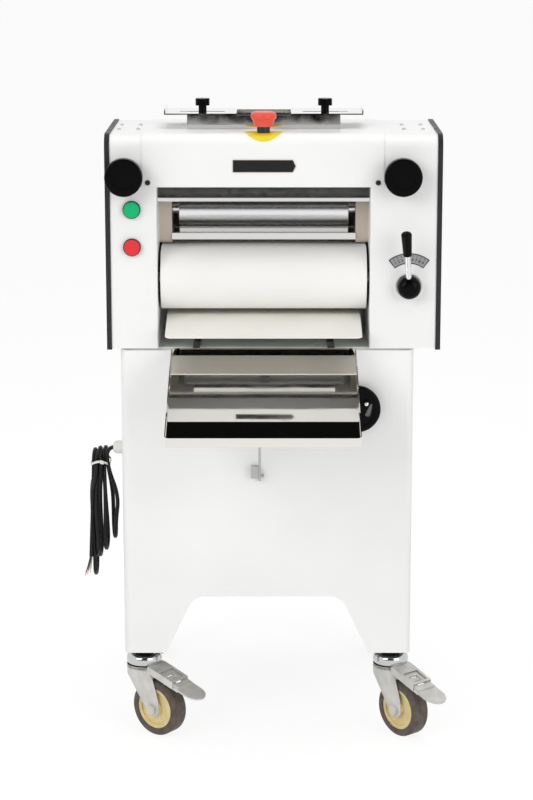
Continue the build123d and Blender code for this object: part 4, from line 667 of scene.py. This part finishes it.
# Caster stems, cores and tyres
# Dark threaded stems hold the front casters in their foot plates. The wheels are cream moulded nylon cores
# with brown rubber tyres pressed over them.
stem_steel = new_finish("stem_steel", (0.10, 0.10, 0.10), roughness=0.42, metallic=1.0)
mottle(stem_steel, scale=200.0, smooth=0.34, rough=0.55)
grain(stem_steel, scale=900.0, depth=0.00008)
dress(stem_steel, "caster_stems")
wheel_glow = {"Subsurface Weight": 0.1}
wheel_nylon = new_finish("wheel_nylon", (0.82, 0.67, 0.34), roughness=0.42, more=wheel_glow)
tint(wheel_nylon, scale=60.0, dark=(0.78, 0.62, 0.29), light=(0.87, 0.73, 0.40))
grain(wheel_nylon, scale=900.0, depth=0.00006)
tyre_rubber = new_finish("tyre_rubber", (0.092, 0.070, 0.056), roughness=0.55)
tint(tyre_rubber, scale=90.0, dark=(0.072, 0.054, 0.043), light=(0.112, 0.086, 0.069))
mottle(tyre_rubber, scale=140.0, smooth=0.45, rough=0.68)
grain(tyre_rubber, scale=1100.0, depth=0.00012)
for wheel in ("front_left", "front_right", "rear_left", "rear_right"):
    dress(wheel_nylon, f"{wheel}_hub")
    dress(tyre_rubber, f"{wheel}_tyre")

# Motor and belt drive
# A grey finned motor on a folded shelf in the stand. Its turned pulley drives the front drum of the
# conveyor through a black rubber belt that rises into the right column.
motor_enamel = new_finish("motor_enamel", (0.13, 0.16, 0.17), roughness=0.40)
tint(motor_enamel, scale=18.0, dark=(0.11, 0.14, 0.15), light=(0.15, 0.18, 0.19))
grain(motor_enamel, scale=420.0, depth=0.00018)
dress(motor_enamel, "motor")
dress(zinc, "motor_shelf")
belt_rubber = new_finish("belt_rubber", (0.012, 0.012, 0.012), roughness=0.62)
grain(belt_rubber, scale=800.0, depth=0.00015)
mottle(belt_rubber, scale=70.0, smooth=0.52, rough=0.75)
dress(belt_rubber, "drive_belt")
turning_marks = (1.0, 0.02, 0.02)
turned_steel = new_finish("turned_steel", (0.50, 0.50, 0.49), roughness=0.32, metallic=1.0)
mottle(turned_steel, scale=900.0, smooth=0.22, rough=0.44, stretch=turning_marks)
grain(turned_steel, scale=900.0, depth=0.00003, stretch=turning_marks)
dress(turned_steel, "motor_pulley", "front_drum", "rear_drum")

# Head base plate
# A thick steel plate in grey-green enamel, bolted on the stand. It carries the two columns, and its front
# edge shows in the outlet over the tray. Its colour is partly painted light: it is much lighter than the
# enamel, for the shade it lies in under the board.
# Painted light: the enamel is made much lighter than its own tone, to lift the shade it lies in under the
# board.
base_enamel_painted_light = new_finish("base_enamel_painted_light", (0.64, 0.68, 0.655), roughness=0.38)
tint(base_enamel_painted_light, scale=14.0, dark=(0.62, 0.66, 0.635), light=(0.66, 0.70, 0.675))
mottle(base_enamel_painted_light, scale=50.0, smooth=0.30, rough=0.48)
grain(base_enamel_painted_light, scale=600.0, depth=0.00010)
dress(base_enamel_painted_light, "head_base")

# Columns, covers and hood
# The head's folded sheet-steel housings, powder-coated as the stand is. Black moulded trims frame the two
# side covers.
dress(powder_white, "left_column", "right_column", "side_covers", "hood", "rear_cover")
trim_plastic = new_finish("trim_plastic", (0.008, 0.008, 0.008), roughness=0.46)
mottle(trim_plastic, scale=60.0, smooth=0.38, rough=0.56)
grain(trim_plastic, scale=1500.0, depth=0.00007)
dress(trim_plastic, "side_trims")

# Housing screws
# Button-head socket screws that hold the housings: two black ones in the hood's front, zinc-plated ones in
# the column tops, and five flat black ones in each side cover.
# Shares of a screw's diameter or rise.
screw_top = 0.40
screw_rounding = 0.35
socket_rim = 0.12
socket_wall = 0.01
socket_depth = 0.6
forwards = Vector((0.0, -1.0, 0.0))
upwards = Vector((0.0, 0.0, 1.0))
hood_low, hood_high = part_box("hood")
cover_low, cover_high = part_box("side_covers")
front_of_hood = hood_low.y
column_top_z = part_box("left_column")[1].z
hood_screw_inset = 0.0097
hood_screw_z = hood_low.z + 0.0075
column_screws_x = (-0.272, -0.239, 0.218, 0.251)
column_screws_y = (-0.036, 0.040)
cover_screws = ((-0.105, 0.735), (-0.105, 1.035), (0.395, 0.735), (0.100, 1.035), (0.385, 0.830))


def add_screw(builder, place, outwards, diameter, rise):
    """A button-head screw with a round socket, its foot at a place and its head turned outwards."""
    earlier = set(builder.verts)

    def head():
        return [corner for corner in builder.verts if corner not in earlier]

    def top():
        faces = {face for corner in head() for face in corner.link_faces}
        return max(faces, key=lambda face: face.calc_center_median().z)

    bmesh.ops.create_cone(
        builder, cap_ends=True, segments=24, radius1=diameter / 2, radius2=diameter * screw_top, depth=rise
    )
    round_edges(builder, list(top().edges), radius=rise * screw_rounding, segments=3)
    socket = top()
    bmesh.ops.inset_individual(builder, faces=[socket], thickness=diameter * socket_rim)
    bmesh.ops.inset_individual(builder, faces=[socket], thickness=diameter * socket_wall)
    bmesh.ops.translate(builder, vec=upwards * -rise * socket_depth, verts=list(socket.verts))
    bmesh.ops.translate(builder, vec=upwards * rise / 2, verts=head())
    turn = upwards.rotation_difference(Vector(outwards)).to_matrix()
    bmesh.ops.rotate(builder, cent=origin, matrix=turn, verts=head())
    bmesh.ops.translate(builder, vec=place, verts=head())


screw_black = new_finish("screw_black", (0.05, 0.05, 0.05), roughness=0.36, metallic=1.0)
mottle(screw_black, scale=600.0, smooth=0.28, rough=0.48)
hood_builder = bmesh.new()
for screw_x in (hood_low.x + hood_screw_inset, hood_high.x - hood_screw_inset):
    add_screw(hood_builder, (screw_x, front_of_hood, hood_screw_z), forwards, diameter=0.0092, rise=0.0036)
settle("hood_screws", hood_builder, screw_black, "machine")
column_builder = bmesh.new()
for screw_x in column_screws_x:
    for screw_y in column_screws_y:
        add_screw(column_builder, (screw_x, screw_y, column_top_z), upwards, diameter=0.0078, rise=0.0026)
settle("column_screws", column_builder, zinc, "machine")
cover_builder = bmesh.new()
for outer_x, outwards in ((cover_low.x, (-1.0, 0.0, 0.0)), (cover_high.x, (1.0, 0.0, 0.0))):
    for screw_y, screw_z in cover_screws:
        add_screw(cover_builder, (outer_x, screw_y, screw_z), outwards, diameter=0.0085, rise=0.0018)
settle("side_cover_screws", cover_builder, screw_black, "machine")

# Name plate blank
# A dark anodised plate with a pointed right end and a thin bronze rim round its sunk face. It is glued
# flat on the front of the hood and left bare.
plate_left_x = -0.0746
plate_right_x = 0.0313
plate_bottom_z = 1.0105
plate_top_z = 1.0310
plate_point = 0.005
plate_rise = 0.0016
plate_rim = 0.0012
plate_sink = 0.0005
plate_outline = (
    (plate_left_x, plate_bottom_z),
    (plate_right_x - plate_point, plate_bottom_z),
    (plate_right_x, (plate_bottom_z + plate_top_z) / 2),
    (plate_right_x - plate_point, plate_top_z),
    (plate_left_x, plate_top_z),
)
plate_brushing = (0.04, 1.0, 1.0)
plate_black = new_finish("plate_black", (0.020, 0.020, 0.022), roughness=0.30, metallic=0.6)
mottle(plate_black, scale=700.0, smooth=0.24, rough=0.42, stretch=plate_brushing)
grain(plate_black, scale=1200.0, depth=0.00002, stretch=plate_brushing)
plate_bronze = new_finish("plate_bronze", (0.20, 0.13, 0.07), roughness=0.34, metallic=1.0)
mottle(plate_bronze, scale=900.0, smooth=0.26, rough=0.44)
plate_builder = bmesh.new()
plate_corners = [plate_builder.verts.new((x, front_of_hood, z)) for x, z in plate_outline]
plate_back = plate_builder.faces.new(plate_corners)
raised = bmesh.ops.extrude_face_region(plate_builder, geom=[plate_back])["geom"]
plate_front = next(item for item in raised if isinstance(item, bmesh.types.BMFace))
bmesh.ops.translate(plate_builder, vec=forwards * plate_rise, verts=list(plate_front.verts))
bmesh.ops.inset_individual(plate_builder, faces=[plate_front], thickness=plate_rim)
for rim_face in {face for edge in plate_front.edges for face in edge.link_faces} - {plate_front}:
    rim_face.material_index = 1
bmesh.ops.inset_individual(plate_builder, faces=[plate_front], thickness=plate_sink)
bmesh.ops.translate(plate_builder, vec=forwards * -plate_sink, verts=list(plate_front.verts))
face_outwards(plate_builder)
name_plate = settle("name_plate_blank", plate_builder, plate_black, "machine")
name_plate.data.materials.append(plate_bronze)

# Rollers and their blocks
# Four hard-chromed rollers run in stainless blocks that are screwed to the columns' inner walls. The rear
# pair sits on sliding steel carriers inside the columns.
grinding_marks = (1.0, 0.03, 0.03)
chrome = new_finish("chrome", (0.78, 0.78, 0.79), roughness=0.24, metallic=1.0)
mottle(chrome, scale=700.0, smooth=0.22, rough=0.27, stretch=grinding_marks)
grain(chrome, scale=700.0, depth=0.000003, stretch=grinding_marks)
dress(chrome, "upper_front_roller", "upper_rear_roller", "lower_front_roller", "lower_rear_roller")
dress(chrome, "lever_rod")
milling_marks = (0.05, 0.05, 1.0)
block_steel = new_finish("block_steel", (0.64, 0.56, 0.47), roughness=0.44, metallic=0.3)
mottle(block_steel, scale=500.0, smooth=0.36, rough=0.54, stretch=milling_marks)
grain(block_steel, scale=500.0, depth=0.00002, stretch=milling_marks)
dress(block_steel, "roller_blocks")
machine_steel = new_finish("machine_steel", (0.48, 0.48, 0.47), roughness=0.36, metallic=1.0)
mottle(machine_steel, scale=160.0, smooth=0.28, rough=0.46)
grain(machine_steel, scale=700.0, depth=0.00005)
dress(machine_steel, "upper_slides", "lower_slides", "press_lift_frame", "tray_stay")

# Polished sheet
# Mirror-polished stainless sheet, folded and spot-welded: the guard and scraper bars at the rollers, the
# infeed chute with its two guides, and the curved guide behind the rear drum.
mirror_steel = new_finish("mirror_steel", (0.72, 0.71, 0.69), roughness=0.04, metallic=1.0)
mottle(mirror_steel, scale=40.0, smooth=0.025, rough=0.07)
grain(mirror_steel, scale=9.0, depth=0.00012)
dress(mirror_steel, "roller_guards", "infeed_chute", "left_guide", "right_guide", "rear_guide")

# Guard sheet
# A thin strip of steel, bent a little, that rises from the guard bar to the hood and closes the slot over
# the upper rollers. Its near-black colour is painted shade, for the dark under the hood.
guards_low, guards_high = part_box("roller_guards")
guard_inset = 0.0005
guard_thickness = 0.001
guard_outline = (
    (-0.1062, 0.9646), (-0.1046, 0.9692), (-0.1047, 0.9712), (-0.1005, 0.9900), (-0.0990, 1.0)
)
# Painted shade: this steel is made near-black for the dark that the hood's underside gives the strip.
guard_steel_painted_shade = new_finish("guard_steel_painted_shade", (0.17, 0.17, 0.16), roughness=0.34, metallic=1.0)
mottle(guard_steel_painted_shade, scale=160.0, smooth=0.28, rough=0.44)
grain(guard_steel_painted_shade, scale=700.0, depth=0.00004)
sheet_builder = bmesh.new()
sheet_ends = []
for sheet_x in (guards_low.x + guard_inset, guards_high.x - guard_inset):
    sheet_ends += draw_outline(sheet_builder, [(sheet_x, y, z) for y, z in guard_outline])[1]
bmesh.ops.bridge_loops(sheet_builder, edges=sheet_ends)
face_outwards(sheet_builder)
bmesh.ops.solidify(sheet_builder, geom=sheet_builder.faces, thickness=guard_thickness)
settle("guard_sheet", sheet_builder, guard_steel_painted_shade, "machine")

# Outlet tray
# The polished tray that catches the dough, folded from one stainless sheet. Its finish tips the mirror
# image down towards the front, most along the front edge, and paints a dark reflection on the folded rear
# edge.
tray_steel = (0.77, 0.75, 0.715)
tray_rear_y = -0.145
tray_front_strip_y = -0.3555
rear_edge_height = 0.983
rear_edge_painted_reflection = (0.03, 0.03, 0.03)


def tip_down(finish, rear_y, run, angle, kind="LINEAR"):
    """Tip a mirror down to the front by an angle, over a run from rear_y. The height map is given back."""
    tree = finish.node_tree
    height = tree.nodes.new("ShaderNodeTexGradient")
    height.gradient_type = kind
    along = tree.nodes.new("ShaderNodeMapping")
    along.inputs["Location"].default_value = (1.0 - rear_y / run, 0.0, 0.0)
    along.inputs["Rotation"].default_value = (0.0, 0.0, radians(-90.0))
    along.inputs["Scale"].default_value = (1.0 / run, 1.0 / run, 1.0)
    tree.links.new(tree.nodes["place"].outputs["Object"], along.inputs["Vector"])
    tree.links.new(along.outputs["Vector"], height.inputs["Vector"])
    emboss(finish, height, run * tan(radians(angle)))
    return height


tray_mirror = new_finish("tray_mirror", tray_steel, roughness=0.04, metallic=1.0)
mottle(tray_mirror, scale=40.0, smooth=0.02, rough=0.06)
grain(tray_mirror, scale=7.0, depth=0.00016)
droop = tip_down(tray_mirror, tray_rear_y, run=0.30, angle=6.2)
tip_down(tray_mirror, tray_front_strip_y, run=0.09, angle=4.5)
tip_down(tray_mirror, tray_rear_y, run=0.085, angle=4.0, kind="QUADRATIC")
tray_tree = tray_mirror.node_tree
# Painted reflection: the mirror's colour turns near-black along the folded rear edge, for the dark it
# reflects there.
rear_edge = tray_tree.nodes.new("ShaderNodeValToRGB")
rear_edge.color_ramp.interpolation = "CONSTANT"
rear_edge.color_ramp.elements[0].color = (*tray_steel, 1.0)
rear_edge.color_ramp.elements[1].position = rear_edge_height
rear_edge.color_ramp.elements[1].color = (*rear_edge_painted_reflection, 1.0)
tray_tree.links.new(droop.outputs["Color"], rear_edge.inputs["Fac"])
tray_tree.links.new(rear_edge.outputs["Color"], tray_tree.nodes["Principled BSDF"].inputs["Base Color"])
dress(tray_mirror, "tray")

# Conveyor belt and press board
# An endless cream belt of coated fabric runs round two drums. Below it a cream food-grade board with a
# rolled apron lies on a lifting frame and leads the dough out to the tray.
belt_fabric = new_finish("belt_fabric", (0.90, 0.894, 0.872), roughness=0.55)
tint(belt_fabric, scale=7.0, dark=(0.885, 0.878, 0.853), light=(0.915, 0.909, 0.889))
grain(belt_fabric, scale=420.0, depth=0.00005, kind="ShaderNodeTexWave")
grain(belt_fabric, scale=1000.0, depth=0.00010)
dress(belt_fabric, "belt")
board_plastic = new_finish("board_plastic", (0.90, 0.885, 0.83), roughness=0.45)
tint(board_plastic, scale=10.0, dark=(0.91, 0.892, 0.825), light=(0.95, 0.935, 0.88))
mottle(board_plastic, scale=40.0, smooth=0.36, rough=0.54)
grain(board_plastic, scale=800.0, depth=0.00006)
dress(board_plastic, "press_board")

# Knobs, lever and handwheel
# Black moulded phenolic parts, each fixed on its steel shaft or screw: two gap knobs, the gap lever's hub
# and grip, the lift handwheel, and two star knobs on the infeed guides.
phenolic = new_finish("phenolic", (0.002, 0.002, 0.002), roughness=0.26, more={"Specular IOR Level": 0.08})
mottle(phenolic, scale=80.0, smooth=0.16, rough=0.30)
grain(phenolic, scale=300.0, depth=0.00002)
dress(phenolic, "left_gap_knob", "right_gap_knob", "lever_hub", "lever_grip", "handwheel")
dress(phenolic, "left_star_knob", "right_star_knob")

# Lever scale
# A thin silver plate in an arc over the lever's hub, glued to the front of the right column. It has a
# printed black border with nine plain ticks and the figures 1 to 9.
lever_low, lever_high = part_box("lever_hub")
lever_x = (lever_low.x + lever_high.x) / 2
lever_z = (lever_low.z + lever_high.z) / 2
column_front_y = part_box("right_column")[0].y
border_radii = (0.0386, 0.0566)
border_half_angle = 38.2
border_thickness = 0.0008
silver_radii = (0.0402, 0.0550)
silver_half_angle = 36.2
silver_back_y = column_front_y - 0.0004
silver_thickness = 0.0007
ink_middle = Vector((lever_x, column_front_y - 0.0007, lever_z))
mark_count = 9
mark_step = 7.5
tick_size = (0.0038, 0.0012, 0.0009)
tick_radius = 0.0523
figure_height = 0.0072
figure_weight = 0.00012
figure_depth = 0.0006
figure_radius = 0.0437


def add_arc_plate(builder, radii, half_angle, back_y, thickness):
    """A flat arc over the lever's axis, with its back at back_y and its thickness towards the viewer."""
    earlier = set(builder.verts)
    middle = (lever_x, back_y, lever_z)
    ends, edges = draw_outline(builder, [(lever_x + radius, back_y, lever_z) for radius in radii])
    first = Matrix.Rotation(radians(90.0 - half_angle), 3, forwards)
    bmesh.ops.rotate(builder, cent=middle, matrix=first, verts=ends)
    sweep = radians(2 * half_angle)
    bmesh.ops.spin(builder, geom=ends + edges, cent=middle, axis=forwards, angle=sweep, steps=24)
    arc = [corner for corner in builder.verts if corner not in earlier]
    faces = list({face for corner in arc for face in corner.link_faces})
    raised = bmesh.ops.extrude_face_region(builder, geom=faces)["geom"]
    bmesh.ops.translate(builder, vec=forwards * thickness, verts=corners_of(raised))


scale_ink = new_finish("scale_ink", (0.010, 0.010, 0.010), roughness=0.45)
grain(scale_ink, scale=1500.0, depth=0.00002)
ink_builder = bmesh.new()
add_arc_plate(ink_builder, border_radii, border_half_angle, column_front_y, border_thickness)
for mark in range(mark_count):
    swing = Matrix.Rotation(radians(90.0 + mark_step * (mark - mark_count // 2)), 3, forwards)
    tick = add_block(ink_builder, tick_size, (tick_radius, 0.0, 0.0))
    bmesh.ops.rotate(ink_builder, cent=origin, matrix=swing, verts=tick)
    bmesh.ops.translate(ink_builder, vec=ink_middle, verts=tick)
face_outwards(ink_builder)
for mark in range(mark_count):
    digit = bpy.data.curves.new("scale_figure", "FONT")
    digit.body = str(mark + 1)
    digit.size = figure_height
    digit.align_x = "CENTER"
    digit.extrude = figure_depth
    digit.offset = figure_weight
    figure = bpy.data.objects.new("scale_figure", digit)
    figure_mesh = bpy.data.meshes.new_from_object(figure)
    figure_mesh.transform(
        Matrix.Translation(ink_middle)
        @ Matrix.Rotation(radians(mark_step * (mark - mark_count // 2)), 4, "Y")
        @ Matrix.Translation((0.0, 0.0, figure_radius))
        @ upright.to_4x4()
    )
    ink_builder.from_mesh(figure_mesh)
    bpy.data.objects.remove(figure)
    bpy.data.curves.remove(digit)
    bpy.data.meshes.remove(figure_mesh)
settle("lever_scale_ink", ink_builder, scale_ink, "machine")
scale_silver = new_finish("scale_silver", (0.36, 0.36, 0.37), roughness=0.36, metallic=0.4)
mottle(scale_silver, scale=900.0, smooth=0.28, rough=0.46, stretch=(0.05, 1.0, 1.0))
silver_builder = bmesh.new()
add_arc_plate(silver_builder, silver_radii, silver_half_angle, silver_back_y, silver_thickness)
face_outwards(silver_builder)
settle("lever_scale", silver_builder, scale_silver, "machine")

# Lever flange
# A low turned steel ring behind the lever's hub, pressed into the right column and powder-coated with it.
# Its front edge is chamfered.
flange_profile = ((0.0212, 0.0), (0.0250, 0.0), (0.0250, 0.0014), (0.0243, 0.0021), (0.0212, 0.0021))
flange_middle = (lever_x, column_front_y, lever_z)
flange_points = [(lever_x + radius, column_front_y - rise, lever_z) for radius, rise in flange_profile]
flange_builder = bmesh.new()
turn_profile(flange_builder, flange_points, flange_middle, axis=(0.0, 1.0, 0.0), steps=64, closed=True)
settle("lever_flange", flange_builder, powder_white, "machine")

# Switches
# A green and a red push button in black bezels on the left column, and a red mushroom-head emergency stop
# on the hood. All are glossy moulded plastic, held by nuts behind the sheet.
switch_black = new_finish("switch_black", (0.012, 0.012, 0.012), roughness=0.34)
grain(switch_black, scale=1200.0, depth=0.00004)
mottle(switch_black, scale=200.0, smooth=0.26, rough=0.44)
dress(switch_black, "switch_bodies")
button_gloss = {"Specular IOR Level": 0.3, "Subsurface Weight": 0.1}
for button, button_colour in (
    ("start_button", (0.0, 0.48, 0.17)),
    ("stop_button", (0.80, 0.035, 0.045)),
    ("estop_button", (0.79, 0.095, 0.065)),
):
    button_plastic = new_finish(f"{button}_plastic", button_colour, roughness=0.30, more=button_gloss)
    mottle(button_plastic, scale=180.0, smooth=0.24, rough=0.38)
    grain(button_plastic, scale=1300.0, depth=0.00003)
    dress(button_plastic, button)

# Stop label
# A bare ring of thin yellow plastic film under the emergency stop. It is glued to the hood and follows it
# over the rounded front edge.
stop_low, stop_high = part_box("estop_button")
stop_x = (stop_low.x + stop_high.x) / 2
stop_y = (stop_low.y + stop_high.y) / 2
label_radius = 0.0325
label_bore = 0.0112
label_thickness = 0.0003
hood_bend = 0.020
bend_y = front_of_hood + hood_bend
bend_z = hood_high.z - hood_bend
label_yellow = new_finish("label_yellow", (0.86, 0.68, 0.02), roughness=0.34)
tint(label_yellow, scale=40.0, dark=(0.82, 0.64, 0.015), light=(0.90, 0.72, 0.03))
grain(label_yellow, scale=900.0, depth=0.00002)
label_builder = bmesh.new()
for ring_radius in (label_radius, label_bore):
    bmesh.ops.create_circle(label_builder, segments=72, radius=ring_radius)
spokes = bmesh.ops.bridge_loops(label_builder, edges=list(label_builder.edges))["edges"]
bmesh.ops.subdivide_edges(label_builder, edges=spokes, cuts=14, use_grid_fill=True)
bmesh.ops.translate(label_builder, vec=(stop_x, stop_y, hood_high.z), verts=label_builder.verts)
face_outwards(label_builder)
bmesh.ops.solidify(label_builder, geom=label_builder.faces, thickness=-label_thickness)
for corner in label_builder.verts:
    lift = abs(corner.co.z - hood_high.z)
    corner.co.z = hood_high.z + lift
    if corner.co.y < bend_y:
        bend_angle = (bend_y - corner.co.y) / hood_bend
        corner.co.y = bend_y - (hood_bend + lift) * sin(bend_angle)
        corner.co.z = bend_z + (hood_bend + lift) * cos(bend_angle)
face_outwards(label_builder)
settle("stop_label", label_builder, label_yellow, "machine")

# Crank stud
# A chromed socket screw in the handwheel's face, beside its slot, where a crank handle would be fixed. It
# turns with the wheel.
wheel_low, wheel_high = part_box("handwheel")
stud_radius = 0.0197
stud_angle = radians(34.0)
stud_sink = 0.0062
stud_x = (wheel_low.x + wheel_high.x) / 2 + stud_radius * cos(stud_angle)
stud_z = (wheel_low.z + wheel_high.z) / 2 + stud_radius * sin(stud_angle)
stud_builder = bmesh.new()
add_screw(stud_builder, (stud_x, wheel_low.y + stud_sink, stud_z), forwards, diameter=0.0104, rise=0.0066)
settle("crank_stud", stud_builder, chrome, "press_wheel")
